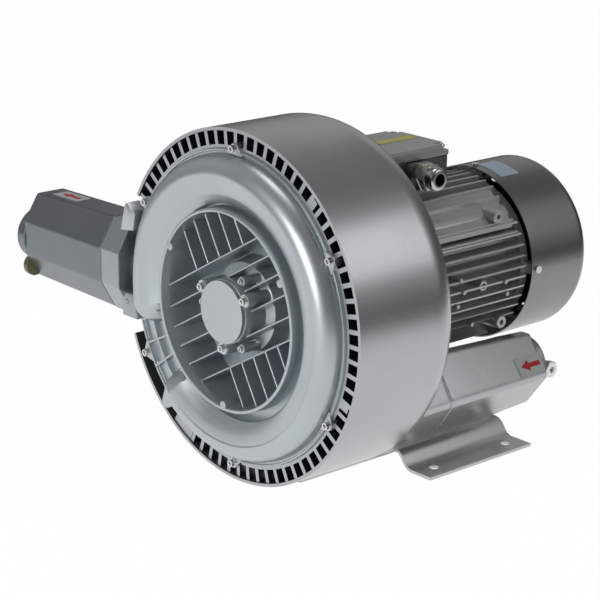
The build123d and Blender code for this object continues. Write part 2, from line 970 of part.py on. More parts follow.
def gauge_plug(bore_v):
    """Small plug that stands out of the collar's side."""
    length = gauge_plug_reach - port_bore_radius - 5.0
    start = gauge_plug_reach - length / 2
    bar = Pos(start, bore_v + gauge_plug_v + 5.0, -port_collar_length / 2) * Rot(0, 90, 0)
    return bar * Cylinder(gauge_plug_radius, length) - collar(port_collar_radius + press_gap, bore_v)


def neck_bore(radius, reach):
    return Pos(0, 0, reach / 2 + gasket_thickness) * Cylinder(radius, reach)


def right_neck():
    """Inlet neck: it grows out of the casing's back round the port and ends at the silencer's seam."""
    reach = right_seam_depth - neck_start_depth
    body = right_place(0) * Pos(0, 0, gasket_thickness) * extrude(right_section(), amount=reach - gasket_thickness)
    casing = disc(casing_radius + seat_gap, neck_start_depth - 1.0, casing_back_depth)
    bore = right_place(0) * neck_bore(right_duct_bore, reach)
    return body.cut(casing, bore)


def left_duct(radius, inner_reach):
    """Round passage from the casing out to the neck's block, along X."""
    outer_x = left_seam_x + left_block_length - 1.0
    length = -inner_reach - outer_x
    middle = (-inner_reach + outer_x) / 2
    place = Pos(middle, row_y + left_duct_depth, shaft_height + left_port_height)
    return place * Rot(0, 90, 0) * Cylinder(radius, length)


def left_neck():
    """Outlet neck: a block with the silencer's section, and a round duct back to the casing."""
    block = extrude(left_section(), amount=left_block_length - gasket_thickness)
    block = left_place(0) * Pos(0, 0, gasket_thickness) * block
    duct = left_duct(left_duct_bore + left_duct_wall, channel_centre_radius)
    casing = disc(casing_radius + seat_gap, cover_joint_depth - 60.0, stage_joint_depth)
    bore = left_place(0) * neck_bore(right_duct_bore, left_block_length - gasket_thickness)
    lower = left_lug(left_lug_low)
    upper = left_lug(left_lug_high)
    body = merged([block, duct, lower, upper])
    return body.cut(casing, left_duct(left_duct_bore, channel_centre_radius), bore)


def left_lug(height):
    """Flat lug from the neck's block to the casing, in front of the casing's joint."""
    outer_x = left_seam_x + left_block_length - 6.0
    length = -left_lug_inner - outer_x
    middle = (-left_lug_inner + outer_x) / 2
    place = Pos(middle, row_y + cover_joint_depth + 14.0, shaft_height + height)
    return place * Box(length, left_lug_thickness, left_lug_width)


# ---- rotor: shaft, impellers and what turns with them


def shaft():
    """Stepped shaft from the front bearing through both impellers and the motor to the fan."""
    front_step = front_bearing_depth + bearing_width
    line = outline(
        (shaft_front_depth, 0),
        (shaft_front_depth, journal_radius),
        (front_step, journal_radius),
        (front_step, shaft_radius),
        (stator_depth - 8.0, shaft_radius),
        (stator_depth - 8.0, core_bore_radius),
        (stator_depth + stator_length + 8.0, core_bore_radius),
        (stator_depth + stator_length + 8.0, shaft_radius),
        (rear_bearing_depth, shaft_radius),
        (rear_bearing_depth, journal_radius),
        (shaft_back_depth, journal_radius),
        (shaft_back_depth, 0),
    )
    groove = ring(
        journal_radius + 1.0,
        journal_radius - circlip_groove,
        rear_bearing_depth + bearing_width,
        rear_bearing_depth + bearing_width + circlip_width,
    )
    keyways = [key_block(centre, key_width, key_length, key_floor, shaft_radius + 1.0) for centre in key_depths]
    fan_key = key_block(fan_depth, fan_key_width, fan_hub_length, journal_radius - 2.0, journal_radius + 1.0)
    return turned(line).cut(groove, *keyways, fan_key)


def key_block(centre, width, length, low, high):
    """A flat key or keyway on top of the shaft."""
    block = Box(width, length, high - low)
    return Pos(0, row_y + centre, shaft_height + (low + high) / 2) * block


def impeller_keys():
    return [
        key_block(centre, key_width - 2 * press_gap, key_length - 2 * press_gap, key_floor, key_floor + key_height)
        for centre in key_depths
    ]


def impeller(front, thickness, web_front, hub_front, hub_back):
    """Cast wheel: a hub, a web and a rim of radial blades on both sides of the rim's middle wall."""
    back = front + thickness
    inner = impeller_inner_radius
    core = inner + impeller_core
    middle = (front + back) / 2
    web_back = web_front + impeller_web
    wheel = turned(
        outline(
            (hub_front, shaft_radius + press_gap),
            (hub_front, impeller_hub_radius),
            (web_front, impeller_hub_radius),
            (web_front, inner),
            (front, inner),
            (front, core),
            (middle - 1.5, core + 8.0),
            (middle - 1.5, impeller_outer_radius),
            (middle + 1.5, impeller_outer_radius),
            (middle + 1.5, core + 8.0),
            (back, core),
            (back, inner),
            (web_back, inner),
            (web_back, impeller_hub_radius),
            (hub_back, impeller_hub_radius),
            (hub_back, shaft_radius + press_gap),
        )
    )
    length = impeller_outer_radius - inner - 1.5
    blade = slab(
        Pos(impeller_outer_radius - 0.8 - length / 2, 0) * Rectangle(length, blade_thickness), front, back
    )
    blades = around(blade, evenly(blade_count))
    centre = (hub_front + hub_back) / 2
    slot = key_block(centre, key_width, hub_back - hub_front + 2.0, 0, key_floor + key_height + press_gap)
    return merged([wheel, *blades]).cut(slot)


def front_impeller():
    web = impeller_one_depth + impeller_one_thickness - impeller_web - impeller_rim_step
    return impeller(
        impeller_one_depth, impeller_one_thickness, web, recess_floor_back + impeller_side_gap, sleeve_front
    )


def rear_impeller():
    hub_back = impeller_two_depth + impeller_two_thickness
    web = impeller_two_depth + impeller_rim_step
    return impeller(impeller_two_depth, impeller_two_thickness, web, impeller_two_depth, hub_back)


def impeller_sleeve():
    """Spacer between the impeller hubs; the seal between the stages runs on it."""
    return ring(sleeve_radius, shaft_radius + press_gap, sleeve_front, impeller_two_depth)


def shaft_seals():
    """Front, middle and back seal, each in its own bore with a running gap to the shaft."""
    front = ring(seal_outer_radius - press_gap, shaft_radius + running_gap, front_seal_depth, recess_floor_back)
    middle = ring(
        seal_outer_radius + 6.0 - press_gap, sleeve_radius + running_gap, stage_plate_front, stage_plate_back
    )
    back = ring(
        seal_outer_radius - press_gap,
        shaft_radius + running_gap,
        back_seal_depth,
        back_seal_depth + seal_width,
    )
    return [front, middle, back]


def race_outer(depth):
    race = ring(bearing_outer_radius, bearing_outer_radius - bearing_race, depth, depth + bearing_width)
    return race.cut(race_groove(depth))


def race_inner(depth):
    race = ring(journal_radius + bearing_race, journal_radius + press_gap, depth, depth + bearing_width)
    return race.cut(race_groove(depth))


def race_groove(depth):
    """Ball track: the ball's own circle with its running gap, turned round the bearing."""
    track = Pos(depth + bearing_width / 2, ball_circle_radius) * Circle(ball_radius + running_gap)
    return turned(track)


def balls(depth):
    place = Pos(ball_circle_radius, row_y + depth + bearing_width / 2, shaft_height)
    return around(place * Sphere(ball_radius), evenly(ball_count))


def cage(depth):
    middle = depth + bearing_width / 2
    band = ring(
        ball_circle_radius + cage_radial / 2,
        ball_circle_radius - cage_radial / 2,
        middle - cage_width / 2,
        middle + cage_width / 2,
    )
    place = Pos(ball_circle_radius, row_y + middle, shaft_height)
    pockets = around(place * Rot(0, 90, 0) * Cylinder(ball_radius + running_gap, 3 * cage_radial), evenly(ball_count))
    return band.cut(*pockets)


def rotor_core():
    length = stator_length
    body = ring(stator_inner_radius - air_gap, core_bore_radius + press_gap, stator_depth, stator_depth + length)
    return body


def rotor_end_rings():
    """Cast short-circuit rings with fan vanes' room, one on each end of the rotor's core."""
    outer = stator_inner_radius - air_gap - 1.0
    inner = outer - end_ring_width
    front = ring(outer, inner, stator_depth - end_ring_length, stator_depth)
    back_start = stator_depth + stator_length
    back = ring(outer, inner, back_start, back_start + end_ring_length)
    return [front, back]


def cooling_fan():
    """Plastic fan on the shaft's back end: a hub, a thin disc and straight blades."""
    hub_front = fan_depth - fan_hub_length / 2
    hub_back = fan_depth + fan_hub_length / 2
    hub = ring(fan_hub_radius, journal_radius + press_gap, hub_front, hub_back)
    plate = ring(fan_radius, fan_hub_radius - 1.0, hub_front + 2.0, hub_front + 2.0 + fan_disc)
    length = fan_radius - fan_hub_radius
    blade = slab(
        Pos(fan_hub_radius - 1.0 + length / 2, 0) * Rectangle(length, fan_disc),
        hub_front + 2.0 + fan_disc,
        hub_front + 2.0 + fan_disc + fan_blade_width,
    )
    slot = key_block(fan_depth, fan_key_width, fan_hub_length + 2.0, 0, journal_radius + 2.0)
    return merged([hub, plate, *around(blade, evenly(fan_blade_count))]).cut(slot)


def fan_key():
    height = 4.0
    low = journal_radius - 2.0
    return key_block(
        fan_depth, fan_key_width - 2 * press_gap, fan_hub_length - 2 * press_gap, low, low + height - press_gap
    )


def circlips():
    """Circlip behind the rear bearing, open below."""
    front = rear_bearing_depth + bearing_width
    clip = ring(
        journal_radius + circlip_height - circlip_groove,
        journal_radius - circlip_groove + press_gap,
        front,
        front + circlip_width,
    )
    gap = Pos(0, row_y + front, shaft_height - journal_radius) * Box(6.0, 6 * circlip_width, journal_radius)
    return clip - gap


# ---- motor


def motor_fins():
    """Parallel cooling fins: level on the sides, upright above and below."""
    rows = Sketch()
    side_last = fin_pitch * (side_fin_rows - 1) / 2
    for row in range(side_fin_rows):
        rows += Pos(0, row * fin_pitch - side_last) * Rectangle(2 * fin_radius, fin_thickness)
    top_last = fin_pitch * (top_fin_rows - 1) / 2
    for row in range(top_fin_rows):
        rows += Pos(row * fin_pitch - top_last, 0) * Rectangle(fin_thickness, 2 * fin_radius)
    envelope = Circle(fin_radius) - Circle(barrel_radius - 2.0)
    return slab(rows & envelope, fin_start_depth, fin_end_depth)


def corner_pad():
    """Flat pad that closes the upper right corner between the level and the upright fins."""
    low = fin_pitch * (side_fin_rows - 1) / 2
    left = fin_pitch * (top_fin_rows - 1) / 2
    face = make_face(
        Polyline(
            (low, low - 4.0),
            (corner_pad_reach - 8.0, low - 4.0),
            (corner_pad_reach - 8.0, low + 2.0),
            (left + 6.0, corner_pad_reach - 4.0),
            (left, corner_pad_reach - 4.0),
            close=True,
        )
    )
    return slab(face, corner_pad_from, corner_pad_to)


def motor_housing():
    """Finned cast barrel with the flange that bolts to the casing and the terminal box's seat."""
    flange = disc(flange_radius, casing_back_depth, casing_back_depth + flange_thickness)
    lobe = disc_at(
        flange_lobe_radius, flange_screw_circle, 0, casing_back_depth, casing_back_depth + flange_thickness
    )
    barrel = disc(barrel_radius, casing_back_depth, barrel_end_depth)
    seat_low = barrel_radius - 8.0
    seat = Pos(0, row_y + box_centre_depth, shaft_height + (seat_low + box_bottom_height) / 2) * Box(
        pedestal_width, pedestal_length, box_bottom_height - seat_low
    )
    bolt_boss = disc_at(
        shield_boss_radius,
        end_shield_bolt_circle,
        45,
        barrel_end_depth - 26.0,
        barrel_end_depth,
    )
    solid = merged(
        [
            flange,
            *around(lobe, flange_screw_angles),
            barrel,
            motor_fins(),
            corner_pad(),
            seat,
            *around(bolt_boss, evenly(4)),
        ]
    )
    hole = disc_at(
        flange_screw_radius + screw_gap,
        flange_screw_circle,
        0,
        casing_back_depth - 1.0,
        casing_back_depth + flange_thickness + 1.0,
    )
    shield_hole = disc_at(
        end_shield_bolt_radius + screw_gap,
        end_shield_bolt_circle,
        45,
        barrel_end_depth - 20.0,
        barrel_end_depth + 1.0,
    )
    wires = Pos(0, row_y + box_centre_depth, shaft_height + barrel_radius) * Cylinder(wire_hole_radius, 80.0)
    cuts = [
        disc(stator_outer_radius + press_gap, casing_back_depth + flange_thickness, barrel_end_depth + 1.0),
        disc(seal_outer_radius - 4.0, casing_back_depth - 1.0, casing_back_depth + flange_thickness + 1.0),
        *around(hole, flange_screw_angles),
        *around(shield_hole, evenly(4)),
        wires & above_barrel(),
    ]
    return solid.cut(*cuts)


def above_barrel():
    """Half space over the shaft, used to keep a cut out of the barrel's lower half."""
    size = 4 * fin_radius
    return Pos(0, row_y + box_centre_depth, shaft_height + size / 2) * Box(size, size, size)


def flange_screws():
    """Hexagon screws from the motor's side into the casing's back."""
    seat = casing_back_depth + flange_thickness
    head = slab(Pos(flange_screw_circle, 0) * hexagon(3.2 * flange_screw_radius), seat, seat + 7.0)
    shank = disc_at(flange_screw_radius, flange_screw_circle, 0, casing_back_depth - flange_screw_grip + 0.5, seat)
    return around(head + shank, flange_screw_angles)


def stator_core():
    """Laminated core with slots open to the rotor."""
    face = Circle(stator_outer_radius) - Circle(stator_inner_radius)
    slot = Pos(stator_inner_radius + stator_slot_height / 2, 0) * Rectangle(
        stator_slot_height + 2.0, stator_slot_width
    )
    slots = [Rot(0, 0, angle) * slot for angle in evenly(stator_slot_count)]
    for one in slots:
        face -= one
    return slab(face, stator_depth, stator_depth + stator_length)


def stator_windings():
    """Winding heads at both ends of the core, joined by the coil sides in its slots."""
    outer = winding_outer_radius
    inner = winding_inner_radius
    front = ring(outer, inner, stator_depth - winding_overhang, stator_depth)
    back_start = stator_depth + stator_length
    back = ring(outer, inner, back_start, back_start + winding_overhang)
    coil_low = inner + 1.0
    coil_high = stator_inner_radius + stator_slot_height
    side = slab(
        Pos((coil_low + coil_high) / 2, 0) * Rectangle(coil_high - coil_low, stator_slot_width - 2 * seat_gap),
        stator_depth - 1.0,
        back_start + 1.0,
    )
    return merged([front, back, *around(side, evenly(stator_slot_count))])


def rear_end_shield():
    """Plate that closes the barrel and carries the rear bearing; its lugs hold the fan cowl."""
    back = barrel_end_depth + end_shield_thickness
    plate = disc(end_shield_radius, barrel_end_depth, back)
    hub = disc(end_shield_hub_radius, barrel_end_depth - 4.0, rear_bearing_depth + bearing_width + 2.0)
    boss = disc_at(shield_boss_radius, end_shield_bolt_circle, 45, barrel_end_depth, back)
    lug_inner = end_shield_radius - 6.0
    lug_outer = cowl_radius - cowl_wall
    lug = slab(
        Pos((lug_inner + lug_outer) / 2, 0) * Rectangle(lug_outer - lug_inner, cowl_lug_size) & Circle(lug_outer - 0.1),
        barrel_end_depth + 5.0,
        barrel_end_depth + 5.0 + cowl_lug_size,
    )
    solid = merged([plate, hub, *around(boss, evenly(4)), *around(lug, cowl_screw_lugs)])
    bolt_hole = disc_at(
        end_shield_bolt_radius + screw_gap, end_shield_bolt_circle, 45, barrel_end_depth - 1.0, back + 1.0
    )
    cuts = [
        disc(
            bearing_bore_radius,
            rear_bearing_depth - wave_washer_thickness,
            rear_bearing_depth + bearing_width + 3.0,
        ),
        disc(shaft_radius + part_gap, barrel_end_depth - 5.0, rear_bearing_depth + 1.0),
        *around(bolt_hole, evenly(4)),
        *[cowl_screw_hole(angle) for angle in cowl_screw_lugs],
    ]
    return solid.cut(*cuts)


def radial_pin(radius, inner, outer, depth, angle):
    """A round bar that points away from the shaft."""
    length = outer - inner
    pin = Rot(0, 90, 0) * Cylinder(radius, length)
    return at_angle(Pos((inner + outer) / 2, row_y + depth, shaft_height) * pin, angle)


def cowl_screw_hole(angle):
    return radial_pin(
        cowl_screw_radius + screw_gap, cowl_radius - 16.0, cowl_radius + 5.0, cowl_screw_depth_middle, angle
    )


def cowl_screws():
    """Radial screws through the cowl into the end shield's lugs."""
    screws = []
    for angle in cowl_screw_lugs:
        shank = radial_pin(cowl_screw_radius, cowl_radius - 14.0, cowl_radius + 1.0, cowl_screw_depth_middle, angle)
        head = radial_pin(2 * cowl_screw_radius, cowl_radius + 0.05, cowl_radius + 3.0, cowl_screw_depth_middle, angle)
        screws.append(shank + head)
    return screws


def end_shield_bolts():
    seat = barrel_end_depth + end_shield_thickness
    head = slab(Pos(*polar(end_shield_bolt_circle, 45)) * hexagon(3.4 * end_shield_bolt_radius), seat, seat + 4.0)
    shank = disc_at(end_shield_bolt_radius, end_shield_bolt_circle, 45, barrel_end_depth - 18.0, seat)
    return around(head + shank, evenly(4))


def wave_washer():
    """Spring washer that presses on the rear bearing's outer ring."""
    back = rear_bearing_depth
    return ring(bearing_outer_radius - 0.5, bearing_outer_radius - 4.0, back - wave_washer_thickness, back)


def fan_cowl_skin():
    """Thin drum, drawn in at its back edge."""
    outer = cowl_radius
    inner = cowl_radius - cowl_wall
    run = cowl_back_depth - cowl_straight_end
    drop = cowl_radius - cowl_back_radius
    middle = (cowl_straight_end + run * 0.68, cowl_radius - drop * 0.27)
    inner_middle = (middle[0] - cowl_wall * 0.7, middle[1] - cowl_wall * 0.7)
    section = make_face(
        [
            Line((cowl_front_depth, inner), (cowl_front_depth, outer)),
            Line((cowl_front_depth, outer), (cowl_straight_end, outer)),
            ThreePointArc((cowl_straight_end, outer), middle, (cowl_back_depth, cowl_back_radius)),
            Line((cowl_back_depth, cowl_back_radius), (cowl_back_depth - cowl_wall, cowl_back_radius)),
            ThreePointArc(
                (cowl_back_depth - cowl_wall, cowl_back_radius), inner_middle, (cowl_straight_end, inner)
            ),
            Line((cowl_straight_end, inner), (cowl_front_depth, inner)),
        ]
    )
    return turned(section)


def fan_cowl():
    """Fan cowl with its air grille: rings joined by spokes in the flat back."""
    front = cowl_back_depth - cowl_wall
    rings = []
    for number in range(grille_ring_count):
        outer = cowl_back_radius + 1.0 - number * (grille_ring_width + grille_ring_step)
        rings.append(ring(outer, outer - grille_ring_width, front, cowl_back_depth))
    spoke = slab(
        Pos(cowl_back_radius / 2, 0) * Rectangle(cowl_back_radius, grille_ring_width), front, cowl_back_depth
    )
    centre = disc(grille_ring_width * 2, front, cowl_back_depth)
    spokes = around(spoke, evenly(grille_spoke_count, 45.0))
    whole = merged([fan_cowl_skin(), *rings, *spokes, centre])
    return whole.cut(*[cowl_screw_hole(angle) for angle in cowl_screw_lugs])


# ---- terminal box and cable gland


def box_block(width, length, low, high):
    """Upright block centred on the terminal box."""
    place = Pos(0, row_y + box_centre_depth, shaft_height + (low + high) / 2)
    return place * Box(width, length, high - low)


def rounded_block(width, length, low, high, corner):
    block = box_block(width, length, low, high)
    return fillet(block.edges().filter_by(Axis.Z), corner)


def box_corners(inset):
    """The four corner places of the terminal box, drawn in by the inset."""
    half_x = box_width / 2 - inset
    half_y = box_length / 2 - inset
    return [(x, y) for x in (-half_x, half_x) for y in (-half_y, half_y)]


def upright(radius, low, high, x, y):
    """Round bar standing in or on the terminal box."""
    place = Pos(x, row_y + box_centre_depth + y, shaft_height + (low + high) / 2)
    return place * Cylinder(radius, high - low)


def gland_bar(radius, start, length):
    """Round bar along the gland's axis, outwards from a given X."""
    place = Pos(start + length / 2, row_y + box_centre_depth, shaft_height + gland_height)
    return place * Rot(0, 90, 0) * Cylinder(radius, length)


def terminal_box():
    """Open-topped cast box: walls, a floor with the wire hole, screw posts and the gland boss."""
    low = box_bottom_height
    high = box_joint_height
    walls = rounded_block(box_width, box_length, low, high, box_corner)
    hollow = rounded_block(
        box_width - 2 * box_wall, box_length - 2 * box_wall, low + box_wall, high + 1.0, box_corner - box_wall
    )
    posts = [upright(post_radius, low, high, x, y) for x, y in box_corners(lid_screw_inset)]
    boss_start = box_width / 2 - 1.0
    boss_plane = Plane(
        origin=(boss_start, row_y + box_centre_depth, shaft_height + gland_height),
        x_dir=(0, 1, 0),
        z_dir=(1, 0, 0),
    )
    boss = loft(
        [
            boss_plane * Circle(gland_boss_radius + 3.0),
            boss_plane.offset(gland_boss_length + 1.0) * Circle(gland_boss_radius),
        ]
    )
    trimmed = boss & box_block(4 * box_width, 2 * box_length, low, high)
    holes = [
        *[upright(lid_screw_radius + screw_gap, high - 14.0, high + 1.0, x, y) for x, y in box_corners(lid_screw_inset)],
        gland_bar(gland_thread_radius, box_width / 2 - box_wall - 4.0, gland_boss_length + box_wall + 6.0),
        upright(wire_hole_radius, low - 1.0, low + box_wall + 1.0, 0, 0),
    ]
    return merged([walls - hollow, *posts, trimmed]).cut(*holes)


def box_gasket():
    high = box_joint_height + box_gasket_thickness
    outer = rounded_block(box_width - 1.0, box_length - 1.0, box_joint_height, high, box_corner)
    inner = rounded_block(
        box_width - 2 * box_wall, box_length - 2 * box_wall, box_joint_height - 1.0, high + 1.0, box_corner - box_wall
    )
    pads = [upright(post_radius, box_joint_height, high, x, y) for x, y in box_corners(lid_screw_inset)]
    holes = [
        upright(lid_screw_radius + screw_gap, box_joint_height - 1.0, high + 1.0, x, y)
        for x, y in box_corners(lid_screw_inset)
    ]
    return merged([outer - inner, *[pad & outer for pad in pads]]).cut(*holes)


def box_lid():
    """Lid with stepped corners: each screw sits in a notch below the lid's top."""
    low = box_joint_height + box_gasket_thickness
    lid = rounded_block(box_width + 2.0, box_length + 2.0, low, box_lid_height, box_corner)
    top_edges = lid.edges().group_by(Axis.Z)[-1]
    lid = chamfer(top_edges, 2.0)
    notch_floor = low + lid_notch_floor
    cuts = []
    for x, y in box_corners(lid_screw_inset / 2):
        high = box_lid_height + 1.0
        place = Pos(x, row_y + box_centre_depth + y, shaft_height + (notch_floor + high) / 2)
        cuts.append(place * Box(2 * lid_notch, 2 * lid_notch, high - notch_floor))
    hollow = box_block(
        box_width - 4 * box_wall, box_length - 4 * box_wall, low - 1.0, box_lid_height - box_wall
    )
    cuts.append(hollow)
    for x, y in box_corners(lid_screw_inset):
        cuts.append(upright(lid_screw_radius + screw_gap, low - 1.0, notch_floor + 1.0, x, y))
    return lid.cut(*cuts)


def lid_screws():
    seat = box_joint_height + box_gasket_thickness + lid_notch_floor
    screws = []
    for x, y in box_corners(lid_screw_inset):
        shank = upright(lid_screw_radius, box_joint_height - 12.0, seat, x, y)
        head = upright(1.9 * lid_screw_radius, seat, seat + 3.5, x, y)
        screws.append(shank + head)
    return screws


def terminal_board():
    """Moulded board on the box floor that carries the six terminal studs."""
    low = box_bottom_height + box_wall
    board = box_block(board_width, board_length, low, low + board_thickness)
    legs = box_block(board_width, 8.0, low, low + board_thickness)
    window = upright(wire_hole_radius, low - 1.0, low + board_thickness + 1.0, 0, 0)
    holes = [
        upright(terminal_stud_radius + press_gap, low - 1.0, low + board_thickness + 1.0, x, y)
        for x, y in stud_places()
    ]
    return merged([board, legs]).cut(window, *holes)


def stud_places():
    half = terminal_stud_pitch * 1.0
    return [(x, y) for x in (-half * 1.5, half * 1.5) for y in (-terminal_stud_pitch, 0, terminal_stud_pitch)]


def terminal_studs():
    low = box_bottom_height + box_wall
    studs = []
    for x, y in stud_places():
        top = low + board_thickness
        rod = upright(terminal_stud_radius, low, top + 10.0, x, y)
        nut_place = Pos(x, row_y + box_centre_depth + y, shaft_height + top)
        nut = extrude(nut_place * hexagon(8.0), amount=4.0)
        studs.append(rod + nut)
    return studs


def gland_hexagon(across, start, length):
    plane = Plane(
        origin=(start, row_y + box_centre_depth, shaft_height + gland_height), x_dir=(0, 1, 0), z_dir=(1, 0, 0)
    )
    return extrude(plane * hexagon(across), amount=length)


def gland_body():
    """Screwed body of the gland, with its thread in the boss and a hexagon outside."""
    thread_start = box_width / 2 - box_wall
    thread = gland_bar(gland_thread_radius - press_gap, thread_start, gland_start - thread_start + 1.0)
    body = merged(
        [
            thread,
            gland_hexagon(gland_hex_width, gland_start, gland_hex_length),
            gland_bar(gland_cap_radius - 3.0, gland_start, gland_hex_length + 10.0),
        ]
    )
    return body - gland_bar(gland_bore_radius + 0.5, thread_start - 1.0, gland_start)


def gland_cap():
    """Domed clamping nut over the seal, open for the cable."""
    start = gland_start + gland_hex_length
    cap = merged(
        [
            gland_hexagon(gland_hex_width - 2.0, start, 10.0),
            gland_bar(gland_cap_radius - 0.2, start + 9.0, gland_cap_length - 9.0),
        ]
    )
    cap = fillet(cap.edges().group_by(Axis.X)[-1], 5.0)
    hollow = gland_bar(gland_cap_radius - 3.0 + press_gap, start - 1.0, gland_cap_length - 5.0)
    return cap.cut(hollow, gland_bar(gland_bore_radius, start, gland_cap_length + 2.0))


def gland_seal():
    start = gland_start + gland_hex_length + 10.0
    end = gland_start + gland_hex_length + gland_cap_length - 6.0
    outer = gland_bar(gland_cap_radius - 3.2, start, end - start)
    return outer - gland_bar(gland_bore_radius - 0.5, start - 1.0, end - start + 2.0)


# ---- foot


def foot_profile():
    """Bent sheet seen from the front: two ground flanges, two S-bends and the raised plate."""
    top = foot_plate_height
    ground = -shaft_height
    rise = (foot_flat_from + foot_top_half) / 2
    middle = (top - foot_sheet + ground + foot_sheet) / 2
    with BuildSketch() as sketch:
        with BuildLine():
            right = Polyline(
                (foot_half_width, ground), (foot_half_width, ground + foot_sheet), (foot_flat_from, ground + foot_sheet)
            )
            Spline(
                (foot_flat_from, ground + foot_sheet),
                (rise + 1.5, middle + 1.5),
                (foot_top_half, top),
                tangents=((-1, 0), (-1, 0)),
            )
            Line((foot_top_half, top), (-foot_top_half, top))
            Spline(
                (-foot_top_half, top),
                (-rise - 1.5, middle + 1.5),
                (-foot_flat_from, ground + foot_sheet),
                tangents=((-1, 0), (-1, 0)),
            )
            Polyline(
                (-foot_flat_from, ground + foot_sheet),
                (-foot_half_width, ground + foot_sheet),
                (-foot_half_width, ground),
                (-foot_flat_from, ground),
            )
            Spline(
                (-foot_flat_from, ground),
                (-rise + 1.5, middle - 1.5),
                (-foot_top_half, top - foot_sheet),
                tangents=((1, 0), (1, 0)),
            )
            Line((-foot_top_half, top - foot_sheet), (foot_top_half, top - foot_sheet))
            Spline(
                (foot_top_half, top - foot_sheet),
                (rise - 1.5, middle - 1.5),
                (foot_flat_from, ground),
                tangents=((1, 0), (1, 0)),
            )
            Line((foot_flat_from, ground), (foot_half_width, ground))
        make_face()
    return sketch.sketch


def foot():
    """Foot: the bent wings under the motor and a flat tongue under the casing."""
    wings = slab(foot_profile(), foot_wing_front, foot_wing_back)
    tongue = slab(
        Pos(0, foot_plate_height - foot_sheet / 2) * Rectangle(2 * foot_tongue_half, foot_sheet),
        foot_tongue_front,
        foot_wing_front + 1.0,
    )
    holes = []
    for x in (-foot_hole_spacing_x / 2, foot_hole_spacing_x / 2):
        for y in (-foot_hole_spacing_y / 2, foot_hole_spacing_y / 2):
            holes.append(Pos(x, y, foot_sheet / 2) * Cylinder(foot_hole_radius, 3 * foot_sheet))
    for depth in foot_screw_depths:
        for x in (-foot_screw_half_x, foot_screw_half_x):
            place = Pos(x, row_y + depth, foot_top - foot_sheet / 2)
            holes.append(place * Cylinder(foot_screw_radius + screw_gap, 3 * foot_sheet))
    return merged([wings, tongue]).cut(*holes)


def foot_screws():
    """Hexagon screws up through the foot into the casing's pads."""
    screws = []
    under = foot_top - foot_sheet
    for depth in foot_screw_depths:
        for x in (-foot_screw_half_x, foot_screw_half_x):
            place = Pos(x, row_y + depth, 0)
            head = extrude(place * Pos(0, 0, under - 6.4) * hexagon(3.2 * foot_screw_radius), amount=6.4)
            low = under
            high = foot_top + foot_screw_grip - 1.0
            shank = place * Pos(0, 0, (low + high) / 2) * Cylinder(foot_screw_radius, high - low)
            screws.append(head + shank)
    return screws


# ---- the whole blower, one file for each node

nodes = {
    "front_cover": front_cover,
    "front_cover_screws": cover_screws,
    "bearing_cap": bearing_cap,
    "bearing_cap_screws": bearing_cap_screws,
    "slotted_ring": slotted_ring,
    "shroud": shroud,
    "middle_housing": middle_housing,
    "rear_housing": rear_housing,
    "shaft": shaft,
    "front_impeller": front_impeller,
    "rear_impeller": rear_impeller,
    "impeller_keys": impeller_keys,
    "impeller_sleeve": impeller_sleeve,
    "shaft_seals": shaft_seals,
    "front_bearing_outer_ring": lambda: race_outer(front_bearing_depth),
    "front_bearing_inner_ring": lambda: race_inner(front_bearing_depth),
    "front_bearing_cage": lambda: cage(front_bearing_depth),
    "front_bearing_balls": lambda: balls(front_bearing_depth),
    "rear_bearing_outer_ring": lambda: race_outer(rear_bearing_depth),
    "rear_bearing_inner_ring": lambda: race_inner(rear_bearing_depth),
    "rear_bearing_cage": lambda: cage(rear_bearing_depth),
    "rear_bearing_balls": lambda: balls(rear_bearing_depth),
    "wave_washer": wave_washer,
    "circlip": circlips,
    "motor_housing": motor_housing,
    "motor_flange_screws": flange_screws,
    "stator_core": stator_core,
    "stator_windings": stator_windings,
    "rotor_core": rotor_core,
    "rotor_end_rings": rotor_end_rings,
    "rear_end_shield": rear_end_shield,
    "end_shield_bolts": end_shield_bolts,
    "cooling_fan": cooling_fan,
    "fan_key": fan_key,
    "fan_cowl": fan_cowl,
    "fan_cowl_screws": cowl_screws,
    "terminal_box": terminal_box,
    "terminal_box_gasket": box_gasket,
    "terminal_box_lid": box_lid,
    "terminal_box_lid_screws": lid_screws,
    "terminal_board": terminal_board,
    "terminal_studs": terminal_studs,
    "cable_gland_body": gland_body,
    "cable_gland_cap": gland_cap,
    "cable_gland_seal": gland_seal,
    "foot": foot,
    "foot_screws": foot_screws,
    "left_neck": left_neck,
    "left_gasket": lambda: left_place(0) * port_gasket(left_section),
    "left_silencer": left_silencer,
    "left_silencer_liner": lambda: left_place(0) * liner(left_length, left_bore_v),
    "left_port_flange": lambda: left_place(left_length) * port_flange(left_bore_v),
    "left_drain_plug": lambda: left_place(left_length) * drain_plug(left_plug_u, left_plug_v, left_bore_v),
    "right_neck": right_neck,
    "right_gasket": lambda: right_place(0) * port_gasket(right_section),
    "right_silencer": right_silencer,
    "right_silencer_liner": lambda: right_place(0) * liner(right_length, right_bore_v),
    "right_port_flange": lambda: right_place(right_length) * port_flange(right_bore_v),
    "right_drain_plug": lambda: right_place(right_length) * drain_plug(right_plug_u, right_plug_v, right_bore_v),
    "gauge_plugs": lambda: [
        left_place(left_length) * gauge_plug(left_bore_v),
        right_place(right_length) * gauge_plug(right_bore_v),
    ],
}

os.makedirs("parts", exist_ok=True)
for name, make in nodes.items():
    save(make(), name)
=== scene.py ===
import bmesh
import bpy
from math import asin, cos, degrees, pi, radians, sin, sqrt
from mathutils import Matrix, Vector
from mathutils.bvhtree import BVHTree


